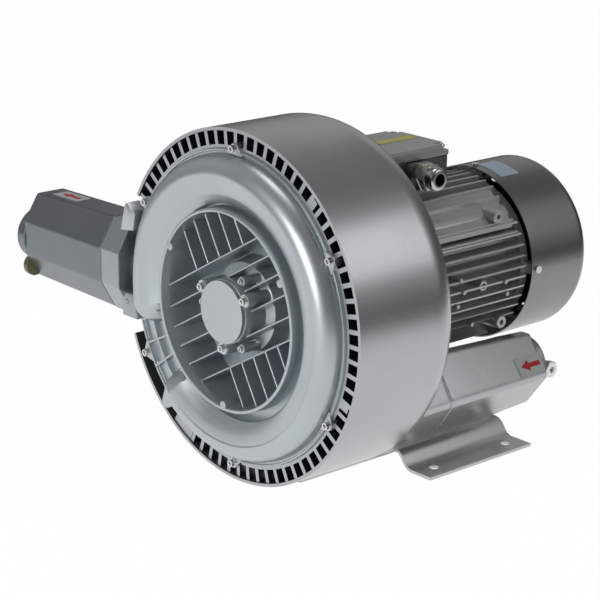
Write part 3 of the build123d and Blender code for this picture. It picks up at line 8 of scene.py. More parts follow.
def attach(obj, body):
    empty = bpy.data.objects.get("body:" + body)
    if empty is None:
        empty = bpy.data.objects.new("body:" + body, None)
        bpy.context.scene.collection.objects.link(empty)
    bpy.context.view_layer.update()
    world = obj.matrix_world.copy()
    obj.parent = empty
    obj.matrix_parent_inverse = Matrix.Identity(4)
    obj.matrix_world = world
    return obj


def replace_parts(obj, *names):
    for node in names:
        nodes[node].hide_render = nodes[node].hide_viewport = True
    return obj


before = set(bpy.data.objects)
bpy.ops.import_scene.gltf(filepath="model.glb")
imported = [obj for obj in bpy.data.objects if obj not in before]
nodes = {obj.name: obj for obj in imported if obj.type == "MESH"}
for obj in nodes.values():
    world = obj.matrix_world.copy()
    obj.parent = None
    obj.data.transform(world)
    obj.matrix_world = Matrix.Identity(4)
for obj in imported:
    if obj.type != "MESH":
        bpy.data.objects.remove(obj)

scene = bpy.context.scene
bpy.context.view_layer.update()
shaftHeight = 0.217
drumFront = -0.272  # front edge of the drum, along Y
print("frame loaded,", len(nodes), "CAD nodes")


# nodes of a material, the world or a shape tree

def addNode(tree, kind, **settings):
    node = tree.nodes.new(kind)
    for key, value in settings.items():
        setattr(node, key, value)
    return node


def put(tree, socket, value):
    # the value is another node's socket, or what the socket itself is set to
    if isinstance(value, bpy.types.NodeSocket):
        tree.links.new(value, socket)
    else:
        socket.default_value = value


def calculate(tree, operation, *values):
    node = addNode(tree, "ShaderNodeMath", operation=operation)
    for socket, value in zip(node.inputs, values):
        put(tree, socket, value)
    return node.outputs[0]


def calculateVector(tree, operation, *values):
    node = addNode(tree, "ShaderNodeVectorMath", operation=operation)
    for socket, value in zip(node.inputs, values):
        put(tree, socket, value)
    return node.outputs["Value" if operation in ("DOT_PRODUCT", "DISTANCE") else "Vector"]


def objectPlace(tree):
    return addNode(tree, "ShaderNodeTexCoord").outputs["Object"]


def noise(tree, coordinates, scale, detail):
    node = addNode(tree, "ShaderNodeTexNoise")
    node.inputs["Scale"].default_value = scale
    node.inputs["Detail"].default_value = detail
    tree.links.new(coordinates, node.inputs["Vector"])
    return node.outputs["Fac"]


def spread(tree, value, low, high, fromLow=0.2, fromHigh=0.8):
    node = addNode(tree, "ShaderNodeMapRange", interpolation_type="SMOOTHSTEP")
    tree.links.new(value, node.inputs["Value"])
    for key, number in zip(("From Min", "From Max", "To Min", "To Max"), (fromLow, fromHigh, low, high)):
        node.inputs[key].default_value = number
    return node.outputs["Result"]


def blendNumbers(tree, factor, first, second):
    node = addNode(tree, "ShaderNodeMix")
    for number, value in ((0, factor), (2, first), (3, second)):
        put(tree, node.inputs[number], value)
    return node.outputs[0]


def blendColours(tree, factor, first, second):
    node = addNode(tree, "ShaderNodeMix", data_type="RGBA")
    for number, value in ((0, factor), (6, first), (7, second)):
        put(tree, node.inputs[number], (*value, 1) if isinstance(value, tuple) else value)
    return node.outputs[2]


# materials

surface = {"patch": 7.0, "shade": 0.93,  # scale of the broad patches, and how dark the darkest is
           "grainDepth": 0.00005, "bump": 0.3}


def shaderTree(name):
    material = bpy.data.materials.new(name)
    material.use_nodes = True
    tree = material.node_tree
    return material, tree, tree.nodes["Principled BSDF"]


def finish(name, colour, metallic=0.0, roughness=0.45, vary=0.04, grain=650.0, edge=0.0,
           insideShade=None, sideShade=None):
    # vary: how far the roughness wanders; grain: scale of the fine bumps; edge: radius of the rounded edges
    # the two shade tones are painted shade: the first on faces that look towards the shaft, the second on
    # faces that don't look along it
    material, tree, shader = shaderTree(name)
    place = objectPlace(tree)
    dark = tuple(channel * surface["shade"] for channel in colour)
    tone = blendColours(tree, spread(tree, noise(tree, place, surface["patch"], 2.0), 0, 1), dark, colour)
    # painted shade: the chosen faces get the dark tone and lose their metallic sheen
    if insideShade or sideShade:
        shadeMask = facingShaft(tree) if insideShade else offAxis(tree)
        tone = blendColours(tree, shadeMask, tone, insideShade or sideShade)
        tree.links.new(spread(tree, shadeMask, metallic, 0.0, 0, 1), shader.inputs["Metallic"])
    tree.links.new(tone, shader.inputs["Base Color"])
    polish = spread(tree, noise(tree, place, surface["patch"] * 3, 1.0), roughness - vary, roughness + vary)
    tree.links.new(polish, shader.inputs["Roughness"])
    bump = addNode(tree, "ShaderNodeBump")
    bump.inputs["Strength"].default_value = surface["bump"]
    bump.inputs["Distance"].default_value = surface["grainDepth"]
    tree.links.new(noise(tree, place, grain, 2.0), bump.inputs["Height"])
    if edge:
        rounding = addNode(tree, "ShaderNodeBevel", samples=4)
        rounding.inputs["Radius"].default_value = edge
        tree.links.new(rounding.outputs["Normal"], bump.inputs["Normal"])
    tree.links.new(bump.outputs["Normal"], shader.inputs["Normal"])
    shader.inputs["Metallic"].default_value = metallic
    return material


def facingShaft(tree):
    # 1 where the face looks at the shaft, 0 where it looks away or along it
    fromShaft = calculateVector(tree, "SUBTRACT", objectPlace(tree), (0, 0, shaftHeight))
    outwards = calculateVector(tree, "NORMALIZE", calculateVector(tree, "MULTIPLY", fromShaft, (1, 0, 1)))
    normal = addNode(tree, "ShaderNodeNewGeometry").outputs["True Normal"]
    return spread(tree, calculateVector(tree, "DOT_PRODUCT", outwards, normal), 1, 0, -0.6, -0.4)


def offAxis(tree):
    # 0 where the face looks to the front, 1 elsewhere
    axes = addNode(tree, "ShaderNodeSeparateXYZ")
    tree.links.new(addNode(tree, "ShaderNodeNewGeometry").outputs["True Normal"], axes.inputs[0])
    return spread(tree, axes.outputs["Y"], 0, 1, -0.8, -0.5)


finishSettings = {
    "coverCasting": {"colour": (0.54, 0.585, 0.615), "metallic": 0.75, "roughness": 0.34, "edge": 0.0008},
    # the near-black tone on the ring bars' sides is painted shade in the slots between them
    "ringCasting": {"colour": (0.52, 0.555, 0.58), "metallic": 0.7, "roughness": 0.36,
                    "sideShade": (0.012, 0.018, 0.028)},
    # the left silencer's casting is a darker copy of the right one's below: the difference is painted shade
    "shadedSilencerCasting": {"colour": (0.225, 0.25, 0.265), "metallic": 0.8, "roughness": 0.31, "edge": 0.005},
    "rightCasting": {"colour": (0.50, 0.515, 0.52), "metallic": 0.85, "roughness": 0.28, "edge": 0.005},
    "neckCasting": {"colour": (0.40, 0.44, 0.465), "metallic": 0.75, "roughness": 0.33, "edge": 0.003},
    # the dark tone on the drum's inner faces is painted shade
    "drumPaint": {"colour": (0.50, 0.505, 0.515), "metallic": 0.85, "roughness": 0.27, "vary": 0.01,
                  "insideShade": (0.055, 0.068, 0.062)},
    "motorCasting": {"colour": (0.50, 0.515, 0.50), "metallic": 0.6, "roughness": 0.34, "edge": 0.0008},
    "cowlPaint": {"colour": (0.27, 0.275, 0.27), "metallic": 0.85, "roughness": 0.27, "vary": 0.01},
    # the box is a much darker copy of the lid's casting: the darkness is painted shade
    "shadedBoxCasting": {"colour": (0.12, 0.125, 0.13), "metallic": 0.75, "roughness": 0.32, "edge": 0.0015},
    "lidCasting": {"colour": (0.42, 0.43, 0.42), "metallic": 0.7, "roughness": 0.34, "edge": 0.002},
    "footPaint": {"colour": (0.64, 0.64, 0.635), "metallic": 0.7, "roughness": 0.33, "edge": 0.001},
    # the near-black tone of the housings inside the drum is painted shade, seen through the ring's slots
    "innerCasingShade": {"colour": (0.022, 0.030, 0.044), "roughness": 0.7},
    "seamGrey": {"colour": (0.68, 0.70, 0.70), "metallic": 0.4, "roughness": 0.35},
    "zinc": {"colour": (0.72, 0.73, 0.73), "metallic": 1.0, "roughness": 0.24, "grain": 900},
    "plugOlive": {"colour": (0.22, 0.21, 0.11), "metallic": 0.7, "roughness": 0.35, "edge": 0.001},
    "steel": {"colour": (0.6, 0.6, 0.6), "metallic": 1.0, "roughness": 0.3, "grain": 900},
    "lamination": {"colour": (0.16, 0.16, 0.17), "metallic": 0.8, "roughness": 0.5},
    "impellerAluminium": {"colour": (0.74, 0.74, 0.75), "metallic": 1.0, "roughness": 0.4},
    "copperWire": {"colour": (0.55, 0.22, 0.08), "metallic": 0.9, "roughness": 0.35},
    "brass": {"colour": (0.7, 0.5, 0.2), "metallic": 1.0, "roughness": 0.3},
    "nickel": {"colour": (0.55, 0.54, 0.5), "metallic": 1.0, "roughness": 0.22, "edge": 0.0006},
    "blackPlastic": {"colour": (0.02, 0.02, 0.022), "roughness": 0.5},
    "rubber": {"colour": (0.02, 0.02, 0.02), "roughness": 0.7},
    "labelSilver": {"colour": (0.50, 0.51, 0.51), "roughness": 0.5},
    "arrowRed": {"colour": (0.50, 0.008, 0.014), "roughness": 0.6},
    "stickerBlue": {"colour": (0.34, 0.42, 0.50), "roughness": 0.35},
    "stickerYellow": {"colour": (0.50, 0.46, 0.10), "roughness": 0.4},
}
finishes = {name: finish(name, **settings) for name, settings in finishSettings.items()}

wears = {
    "coverCasting": ["front_cover", "bearing_cap"],
    "ringCasting": ["slotted_ring"],
    "shadedSilencerCasting": ["left_silencer", "left_port_flange"],
    "rightCasting": ["right_silencer", "right_port_flange", "right_neck"],
    "neckCasting": ["left_neck"],
    "innerCasingShade": ["middle_housing", "rear_housing"],
    "drumPaint": ["shroud"],
    "motorCasting": ["motor_housing", "rear_end_shield"],
    "cowlPaint": ["fan_cowl"],
    "shadedBoxCasting": ["terminal_box"],
    "lidCasting": ["terminal_box_lid"],
    "seamGrey": ["left_gasket", "right_gasket"],
    "footPaint": ["foot"],
    "zinc": ["front_cover_screws", "bearing_cap_screws", "motor_flange_screws", "end_shield_bolts",
             "fan_cowl_screws", "terminal_box_lid_screws", "foot_screws", "circlip", "wave_washer",
             "gauge_plugs"],
    "plugOlive": ["left_drain_plug", "right_drain_plug"],
    "steel": ["shaft", "impeller_keys", "impeller_sleeve", "front_bearing_outer_ring",
              "front_bearing_inner_ring", "front_bearing_balls", "rear_bearing_outer_ring",
              "rear_bearing_inner_ring", "rear_bearing_balls", "fan_key", "front_bearing_cage",
              "rear_bearing_cage", "left_silencer_liner", "right_silencer_liner"],
    "lamination": ["stator_core", "rotor_core"],
    "impellerAluminium": ["front_impeller", "rear_impeller", "rotor_end_rings"],
    "copperWire": ["stator_windings"],
    "brass": ["terminal_studs"],
    "nickel": ["cable_gland_body", "cable_gland_cap"],
    "blackPlastic": ["cooling_fan", "terminal_board"],
    "rubber": ["shaft_seals", "terminal_box_gasket", "cable_gland_seal"],
}


def dressNodes():
    for finishName, members in wears.items():
        for member in members:
            for slot in nodes[member].material_slots:
                slot.material = finishes[finishName]
    plain = sorted(set(nodes) - {member for group in wears.values() for member in group})
    print("materials done, nodes left plain:", plain)


dressNodes()


# shapes: sizes are in millimetres, angles in degrees about the shaft, depths run back from the drum's front

def inBlower(across, depth, height):
    # a point in metres, from the shaft's axis and the drum's front edge
    return (across / 1000, drumFront + depth / 1000, shaftHeight + height / 1000)


def centreAt(across, depth, height):
    # the same point in millimetres, for lathe
    return (across, drumFront * 1000 + depth, shaftHeight * 1000 + height)


def around(radius, angle, depth):
    turn = radians(angle)
    return inBlower(radius * cos(turn), depth, radius * sin(turn))


def polar(radius, angle):
    return (radius * cos(radians(angle)), radius * sin(radians(angle)))


def settle(name, mesh, form, finishName, body, sharp):
    # the finished form becomes a piece; one that is copied or joined first rides on no body yet
    form.to_mesh(mesh)
    form.free()
    mesh.materials.append(finishes[finishName])
    mesh.shade_smooth()
    mesh.set_sharp_from_angle(angle=radians(sharp))
    piece = bpy.data.objects.new(name, mesh)
    scene.collection.objects.link(piece)
    if body:
        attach(piece, body)
    return piece


def makePiece(name, points, faces, finishName, body="blower", sharp=32):
    mesh = bpy.data.meshes.new(name)
    mesh.from_pydata(points, [], faces)
    form = bmesh.new()
    form.from_mesh(mesh)
    bmesh.ops.remove_doubles(form, verts=form.verts, dist=0.000005)
    bmesh.ops.recalc_face_normals(form, faces=form.faces)
    return settle(name, mesh, form, finishName, body, sharp)


def slabPiece(name, outline, front, back, finishName, ease, body="blower"):
    # outline holds (radius, across) points of a plate at angle 0, seen along the shaft
    mesh = bpy.data.meshes.new(name)
    form = bmesh.new()
    near, far = ([form.verts.new(inBlower(radius, depth, across)) for radius, across in outline]
                 for depth in (front, back))
    form.faces.new(near)
    form.faces.new(list(reversed(far)))
    for number in range(len(outline)):
        form.faces.new((near[number], near[number - 1], far[number - 1], far[number]))
    bmesh.ops.recalc_face_normals(form, faces=form.faces)
    if ease:
        edges = [edge for edge in form.edges if len(edge.link_faces) == 2
                 and edge.calc_face_angle(0) > 0.6]
        bmesh.ops.bevel(form, geom=edges, offset=ease / 1000, segments=2, affect="EDGES", profile=0.6)
    return settle(name, mesh, form, finishName, body, 40)


def bandFaces(steps, count):
    # faces between neighbouring copies of a line of points, closed into a ring
    faces = []
    for step in range(steps):
        here, following = step * count, (step + 1) % steps * count
        for number in range(count - 1):
            faces.append((here + number, here + number + 1, following + number + 1, following + number))
    return faces


def lathe(name, line, centre, axis, finishName, steps=20, body="blower"):
    # line holds (radius, height) from the axis out and round to the axis again, heights run along the axis
    axis = Vector(axis).normalized()
    side = axis.orthogonal().normalized()
    other = axis.cross(side)
    points = []
    for step in range(steps):
        turn = 2 * pi * step / steps
        ray = side * cos(turn) + other * sin(turn)
        points += [(Vector(centre) + ray * radius + axis * height) / 1000 for radius, height in line]
    return makePiece(name, points, bandFaces(steps, len(line)), finishName, body)


def eased(corners, size):
    # each corner becomes three points, so that the edge is rounded
    line = [corners[0]]
    for before, corner, after in zip(corners, corners[1:], corners[2:]):
        here = Vector(corner)
        back, ahead = Vector(before) - here, Vector(after) - here
        reach = min(size, back.length * 0.4, ahead.length * 0.4)
        first, last = here + back.normalized() * reach, here + ahead.normalized() * reach
        line += [tuple(first), tuple((first + last) / 4 + here / 2), tuple(last)]
    return line + [corners[-1]]


def roundBar(centre, radius, across=0.0, steps=16, start=0, sweep=360):
    # a circle, or an arc with both its ends
    turns = [radians(start + sweep * step / steps) for step in range(steps + (0 if sweep == 360 else 1))]
    return [(centre + radius * cos(turn), across + radius * sin(turn)) for turn in turns]


def flatBar(low, high, half):
    return [(low, -half), (high, -half), (high, half), (low, half)]


def joined(name, pieces, body="blower"):
    form = bmesh.new()
    for piece in pieces:
        form.from_mesh(piece.data)
    mesh = pieces[0].data.copy()
    form.to_mesh(mesh)
    form.free()
    mesh.name = name
    for piece in pieces:
        bpy.data.objects.remove(piece)
    whole = bpy.data.objects.new(name, mesh)
    scene.collection.objects.link(whole)
    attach(whole, body)
    return whole


# Geometry Nodes: copies of a piece round the shaft, and copies on a flat grid

def newTree(name, inputs):
    tree = bpy.data.node_groups.new(name, "GeometryNodeTree")
    tree.interface.new_socket("Geometry", in_out="INPUT", socket_type="NodeSocketGeometry")
    for label, kind in inputs:
        tree.interface.new_socket(label, in_out="INPUT", socket_type="NodeSocket" + kind)
    tree.interface.new_socket("Geometry", in_out="OUTPUT", socket_type="NodeSocketGeometry")
    return tree, tree.nodes.new("NodeGroupInput").outputs, tree.nodes.new("NodeGroupOutput").inputs


def shifted(tree, geometry, shift):
    node = addNode(tree, "GeometryNodeTransform")
    node.inputs["Translation"].default_value = shift
    tree.links.new(geometry, node.inputs["Geometry"])
    return node.outputs["Geometry"]


def closeTree(tree, sizes, result, geometry):
    paint = addNode(tree, "GeometryNodeSetMaterial")
    tree.links.new(geometry, paint.inputs["Geometry"])
    tree.links.new(sizes["Material"], paint.inputs["Material"])
    tree.links.new(paint.outputs["Geometry"], result["Geometry"])
    return tree


def placed(tree, geometry, points, turn=None):
    # real copies of the piece on the points
    place = addNode(tree, "GeometryNodeInstanceOnPoints")
    real = addNode(tree, "GeometryNodeRealizeInstances")
    tree.links.new(points, place.inputs["Points"])
    tree.links.new(geometry, place.inputs["Instance"])
    if turn:
        tree.links.new(turn, place.inputs["Rotation"])
    tree.links.new(place.outputs["Instances"], real.inputs["Geometry"])
    return real.outputs["Geometry"]


def ringTree():
    # the piece is brought down to the origin, copied with a turn about Y, and brought up to the shaft again
    tree, sizes, result = newTree("copiesRoundShaft", [("Count", "Int"), ("First angle", "Float"),
                                                       ("Step angle", "Float"), ("Material", "Material")])
    row = addNode(tree, "GeometryNodeMeshLine")
    row.inputs["Offset"].default_value = (0, 0, 0)
    tree.links.new(sizes["Count"], row.inputs["Count"])
    index = addNode(tree, "GeometryNodeInputIndex").outputs[0]
    angle = calculate(tree, "MULTIPLY_ADD", index, sizes["Step angle"], sizes["First angle"])
    spin = addNode(tree, "ShaderNodeCombineXYZ")
    tree.links.new(calculate(tree, "MULTIPLY", calculate(tree, "RADIANS", angle), -1), spin.inputs["Y"])
    centred = shifted(tree, sizes["Geometry"], (0, 0, -shaftHeight))
    copies = placed(tree, centred, row.outputs["Mesh"], spin.outputs[0])
    return closeTree(tree, sizes, result, shifted(tree, copies, (0, 0, shaftHeight)))


def gridTree():
    tree, sizes, result = newTree("copiesOnGrid", [("Length", "Float"), ("Width", "Float"), ("Along", "Int"),
                                                   ("Across", "Int"), ("Material", "Material")])
    grid = addNode(tree, "GeometryNodeMeshGrid")
    for label, socket in (("Length", "Size X"), ("Width", "Size Y"), ("Along", "Vertices X"),
                          ("Across", "Vertices Y")):
        tree.links.new(sizes[label], grid.inputs[socket])
    return closeTree(tree, sizes, result, placed(tree, sizes["Geometry"], grid.outputs["Mesh"]))


trees = {"ring": ringTree(), "grid": gridTree()}


def repeated(piece, kind, finishName, body="blower", **values):
    modifier = piece.modifiers.new("copies", "NODES")
    modifier.node_group = trees[kind]
    values["Material"] = finishes[finishName]
    for item in trees[kind].interface.items_tree:
        if item.in_out == "INPUT" and item.name in values:
            modifier[item.identifier] = values[item.name]
    bpy.context.view_layer.update()
    solved = piece.evaluated_get(bpy.context.evaluated_depsgraph_get())
    mesh = bpy.data.meshes.new_from_object(solved)
    piece.modifiers.remove(modifier)
    piece.data = mesh
    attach(piece, body)
    return piece


def copiedRound(piece, finishName, sizes):
    return repeated(piece, "ring", finishName, Count=sizes["count"],
                    **{"First angle": sizes["first"], "Step angle": sizes["step"]})


def slabsRound(name, sizes, finishName):
    piece = slabPiece(name, sizes["outline"], sizes["front"], sizes["back"], finishName, sizes["ease"], None)
    return copiedRound(piece, finishName, sizes)


# the cover: one turned surface whose section changes with the angle

recess = {"floor": 40.0, "floorRadius": 112.5, "lip": -19.5, "lipRadius": 118.0, "collar": 122.5,
          "hub": -17.0}

cover = {
    "steps": 480, "floor": 3.0, "ease": 1.6,
    "from": -127.0, "to": 190.0, "middle": 159.25, "half": 25.4,  # the channel, and its domed ends
    "groove": 130.5, "grooveShift": 7.5, "grooveAngle": -10.0, "grooveFloor": 134.0,  # widest at grooveAngle
    "face": -17.0, "faceEdge": 139.0, "valley": 7.5, "valleyWidth": 17, "valleyTurn": 0.62,
    "crest": [(150.0, -19.7), (160.0, -22.0), (160.8, -22.1), (161.6, -22.9), (162.4, -23.0)],
    "shoulder": {"centre": (162.4, -1.5), "reach": (22.1, 21.5), "steps": 8},
    "inner": [(0, recess["hub"]), (39.0, recess["hub"]), (40.0, 13.0), (54.0, 15.0), (58.0, recess["floor"]),
              (recess["floorRadius"], recess["floor"]), (recess["lipRadius"], recess["lip"]),
              (recess["collar"], recess["lip"])],
    "outer": [(184.6, 0.5), (187.2, 0.5), (187.5, -1.7), (188.0, -2.0), (189.5, -2.0), (190.0, -1.5),
              (190.0, 8.0), (124.5, 8.0), (117.5, 46.0), (0, 46.0)],
}


def channelScale(radius, angle):
    # how high the channel stands: full along its run, falling off in a dome beyond each end
    if (angle - cover["from"]) % 360 <= cover["to"] - cover["from"]:
        return 1.0
    beyond = min(abs((angle - end + 180) % 360 - 180) for end in (cover["from"], cover["to"]))
    away = cover["half"] ** 2 - (radius - cover["middle"]) ** 2
    arc = (beyond * pi / 180 * cover["middle"]) ** 2
    return sqrt(max(0.0, away - arc) / away) if away > 1 else 0.0


def channelWeb(radius):
    # the flat face beside the groove, with a shallow valley along it
    inwards = min(1.0, max(0.0, (cover["faceEdge"] - radius) / cover["valleyWidth"]))
    return cover["face"] + cover["valley"] * sin(pi * inwards * cover["valleyTurn"])


def coverLine(angle):
    turn = radians(angle - cover["grooveAngle"])
    reach = cover["grooveShift"] * cos(turn)
    reach += sqrt(cover["groove"] ** 2 - (cover["grooveShift"] * sin(turn)) ** 2)
    reach = max(reach, recess["collar"] + 1)
    floor, edge = cover["floor"], cover["faceEdge"]
    top, low = min(reach, edge), min(reach, cover["grooveFloor"])
    channel = [(low, floor), (low + 0.3 * (top - low), 0.4 * floor + 0.6 * (cover["face"] / 2)),
               (top - 0.6, channelWeb(top) + 1.6), (top + 0.2, channelWeb(top) + 0.3)]
    for share in (0.35, 0.7, 1.0):
        channel.append((top + (edge + 1.5 - top) * share, channelWeb(top + (edge - top) * share)))
    channel += cover["crest"]
    shoulder = cover["shoulder"]
    (radius, depth), (wide, high) = shoulder["centre"], shoulder["reach"]
    for step in range(1, shoulder["steps"] + 1):
        lean = pi / 2 * step / shoulder["steps"]
        channel.append((radius + wide * sin(lean), depth - high * cos(lean)))
    scaled = [(radius, floor + (depth - floor) * channelScale(radius, angle)) for radius, depth in channel]
    inner = eased([*cover["inner"], (123.0, floor)], cover["ease"])[:-1]
    return inner + [(122.9, floor), *scaled, *cover["outer"]]


def makeCover():
    points = []
    for step in range(cover["steps"]):
        angle = -180 + 360 * step / cover["steps"]
        line = coverLine(angle)
        points += [around(radius, angle, depth) for radius, depth in line]
    faces = bandFaces(cover["steps"], len(line))
    return makePiece("coverCasting", points, faces, "coverCasting", None, sharp=38)


ribs = {"pitch": 24.5, "thick": 2.4, "turn": 30.0, "rows": 6, "crossed": 5, "front": -8.0, "root": 41.0,
        "wallGap": 0.2}


def recessHalf(depth):
    drop = recess["floor"] - recess["lip"]
    widening = (recess["lipRadius"] - recess["floorRadius"]) * (recess["floor"] - depth) / drop
    return recess["floorRadius"] + widening - ribs["wallGap"]


def makeRib(name, offset, low, high, square):
    # a straight rib across the recess, tapered to its top and cut to the drafted wall
    turn = radians(ribs["turn"] + (90 if square else 0))
    along, across = Vector((cos(turn), sin(turn))), Vector((-sin(turn), cos(turn)))
    points, faces = [], []
    for depth, half in ((ribs["root"], ribs["thick"] * 0.75), (ribs["front"] + 0.8, ribs["thick"] / 2),
                        (ribs["front"], ribs["thick"] / 2 - 0.5)):
        wall = sqrt(recessHalf(min(depth, recess["floor"])) ** 2 - offset ** 2)
        for end in (max(-wall, low), min(wall, high)):
            for side in (-half, half):
                spot = along * end + across * (offset + side)
                points.append(inBlower(spot.x, depth, spot.y))
    for level in (0, 4):
        for a, b in ((0, 1), (1, 3), (3, 2), (2, 0)):
            faces.append((level + a, level + b, level + 4 + b, level + 4 + a))
    faces += [(0, 1, 3, 2), (8, 9, 11, 10)]
    return makePiece(name, points, faces, "coverCasting", None, sharp=25)


def makeRibs():
    far = 2 * cover["middle"]  # past the wall, which cuts the rib to length
    last = ribs["pitch"] * (ribs["rows"] - 1) / 2
    bars = [makeRib("rib", row * ribs["pitch"] - last, -far, far, False) for row in range(ribs["rows"])]
    for low, high in ((last, far), (-far, -last)):
        for number in range(ribs["crossed"]):
            offset = -(number - (ribs["crossed"] - 2) / 2) * ribs["pitch"]
            bars.append(makeRib("rib", offset, low, high, True))
    return bars


gap = (cover["to"] + cover["from"] + 360) / 2  # middle of the interrupter, between the channel's ends
webTurns = range(-20, 21)

castings = {
    "coverEars": {"outline": [(185.0, -15.0), (187.5, -14.0),
                              *roundBar(192.8, 6.7, start=-60, sweep=120, steps=8),
                              (187.5, 14.0), (185.0, 15.0)],
                  "front": -3.2, "back": 8.0, "ease": 0.9, "count": 6, "first": 30.0, "step": 60.0},
    "hubLobes": {"outline": roundBar(44.6, 8.0, steps=24),
                 "front": -17.0, "back": 42.0, "ease": 0.6, "count": 3, "first": 30.0, "step": 120.0},
    "screwSeats": {"outline": roundBar(47.5, 5.6, steps=20),
                   "front": -11.0, "back": 20.0, "ease": 0.6, "count": 3, "first": 60.0, "step": 120.0},
    "recessPosts": {"outline": roundBar(115.5, 5.0, steps=20),
                    "front": -19.5, "back": 40.0, "ease": 0.6, "count": 3, "first": 30.0, "step": 120.0},
    "interrupterRibs": {"outline": flatBar(123, 187.5, 1.3), "front": -3.5, "back": 4.0, "ease": 0.4,
                        "count": 4, "first": gap - 14.1, "step": 9.4},
    "interrupterWeb": {"outline": [polar(163.0, turn) for turn in webTurns]
                       + [polar(165.6, turn) for turn in reversed(webTurns)],
                       "front": -3.0, "back": 4.0, "ease": 0.4, "count": 1, "first": gap, "step": 0.0},
    "castingLug": {"outline": [(184.0, -17.0), (188.0, -15.0),
                               *roundBar(203.0, 8.0, start=-70, sweep=140, steps=10),
                               (188.0, 15.0), (184.0, 17.0)],
                   "front": -1.0, "back": 12.0, "ease": 0.8, "count": 1, "first": 229.0, "step": 0.0},
}


def makeFront():
    casting = joined("coverFront", [makeCover(), *makeRibs()])
    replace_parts(casting, "front_cover")
    for name, sizes in castings.items():
        slabsRound(name, sizes, "coverCasting")
    print("cover done,", len(casting.data.polygons), "faces")


makeFront()


# the drum's front edge and the ring's bars, carried round below the level of the foot plate

footRim = {"radii": (211.0, 215.0), "cut": 193.3, "back": 22.0, "ease": 0.4, "steps": 40}
footBars = {"outline": flatBar(194.0, 211.4, 2.75),
            "front": 1.9, "back": 13.9, "ease": 0.3, "count": 9, "first": -109.0, "step": 5.0}


def makeFootRing():
    inner, outer = footRim["radii"]
    innerEnd, outerEnd = (degrees(asin(footRim["cut"] / radius)) for radius in (inner, outer))
    shares = [step / footRim["steps"] for step in range(footRim["steps"] + 1)]
    line = [polar(outer, outerEnd - 180 + (180 - 2 * outerEnd) * share) for share in shares]
    line += [polar(inner, -innerEnd - (180 - 2 * innerEnd) * share) for share in shares]
    slabPiece("footRim", line, 0.0, footRim["back"], "drumPaint", footRim["ease"])
    slabsRound("footBars", footBars, "ringCasting")
    print("front edge of the drum done")


makeFootRing()


# screws with a round head and a socket, some on a washer

def screwLine(head, tall, socket, washer=0.0, thick=0.0):
    # radii of the head, the socket and the washer; the socket's floor is a third of the way up
    floor, top = thick + tall * 0.35, thick + tall
    line = [(0, floor), (socket, floor), (socket, thick + tall * 0.95), (socket + 0.3, top),
            (head - 0.5, top), (head, top - 0.5), (head, thick)]
    if washer:
        line += [(washer - 0.2, thick), (washer, thick - 0.2), (washer, 0)]
    else:
        line += [(head, 0)]
    return line + [(0, 0)]


screws = {
    "coverScrews": {"circle": 192.8, "depth": -3.2, "count": 6, "first": 30.0, "step": 60.0,
                    "line": screwLine(4.6, 4.6, 2.3, 5.8, 1.0), "replaces": "front_cover_screws"},
    "capScrews": {"circle": 44.6, "depth": -19.0, "count": 3, "first": 30.0, "step": 120.0,
                  "line": screwLine(4.6, 4.2, 2.3, 6.2, 1.0), "replaces": "bearing_cap_screws"},
    "hubScrews": {"circle": 47.5, "depth": -11.0, "count": 3, "first": 60.0, "step": 120.0,
                  "line": screwLine(3.6, 3.4, 1.8)},
}


def makeScrews():
    for name, screw in screws.items():
        centre = centreAt(screw["circle"], screw["depth"], 0)
        head = lathe(name, screw["line"], centre, (0, -1, 0), "zinc", body=None)
        copiedRound(head, "zinc", screw)
        if "replaces" in screw:
            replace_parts(head, screw["replaces"])
    print("ring screws done")


makeScrews()


# ports: a round collar with a rolled edge, and its gauge plug

ports = {
    "left": {"centre": (-408.0, -256.0, 217.0), "axis": (-1, 0, 0), "plug": (0, 1, 0),
             "finish": "shadedSilencerCasting"},
    "right": {"centre": (95.0, 115.0, 89.0), "axis": (0, 1, 0), "plug": (1, 0, 0), "finish": "rightCasting"},
}
collar = {"steps": 56, "line": [(28.3, 0), (28.3, 18.4), (29.6, 20.0), (33.6, 20.0), (35.0, 18.6),
                                (35.0, 3.0), (37.0, 1.0), (37.5, 0), (28.3, 0)]}
gauge = {"steps": 24, "line": [(0, 0), (9.5, 0), (9.5, 12), (10.6, 12.4), (10.6, 19), (9.8, 19.8), (4, 19.8),
                               (4, 16), (0, 16)],
         "along": 10, "out": 33, "up": 4}  # where the plug starts from the collar's centre


def makePorts():
    plugs = []
    for side, port in ports.items():
        whole = lathe(side + "Collar", collar["line"], port["centre"], port["axis"], port["finish"],
                      collar["steps"])
        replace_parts(whole, side + "_port_flange")
        middle = Vector(port["centre"]) + Vector(port["axis"]) * gauge["along"]
        middle = middle + Vector(port["plug"]) * gauge["out"] + Vector((0, 0, gauge["up"]))
        plugs.append(lathe(side + "Gauge", gauge["line"], middle, port["plug"], "zinc", gauge["steps"], None))
    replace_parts(joined("gaugePlugs", plugs), "gauge_plugs")
    print("port collars done")


makePorts()


# the left neck's upper lug and the strip below its window

neck = {
    "lug": {"outline": [(-214.0, 52.0), (-188.0, 56.0), (-184.0, 78.0), (-200.0, 90.0), (-205.0, 86.0)],
            "front": -8.0, "back": 12.0, "ease": 1.5},
    "strip": {"outline": [(-206.0, -55.0), (-176.0, -55.0), (-183.0, -24.0), (-206.0, -24.0)],
              "front": -12.0, "back": 20.0, "ease": 1.2},
    "mark": {"line": [(0, 1.0), (3.0, 1.0), (3.6, 0.4), (3.6, 0), (0, 0)], "across": -197.0, "height": -36.0},
}


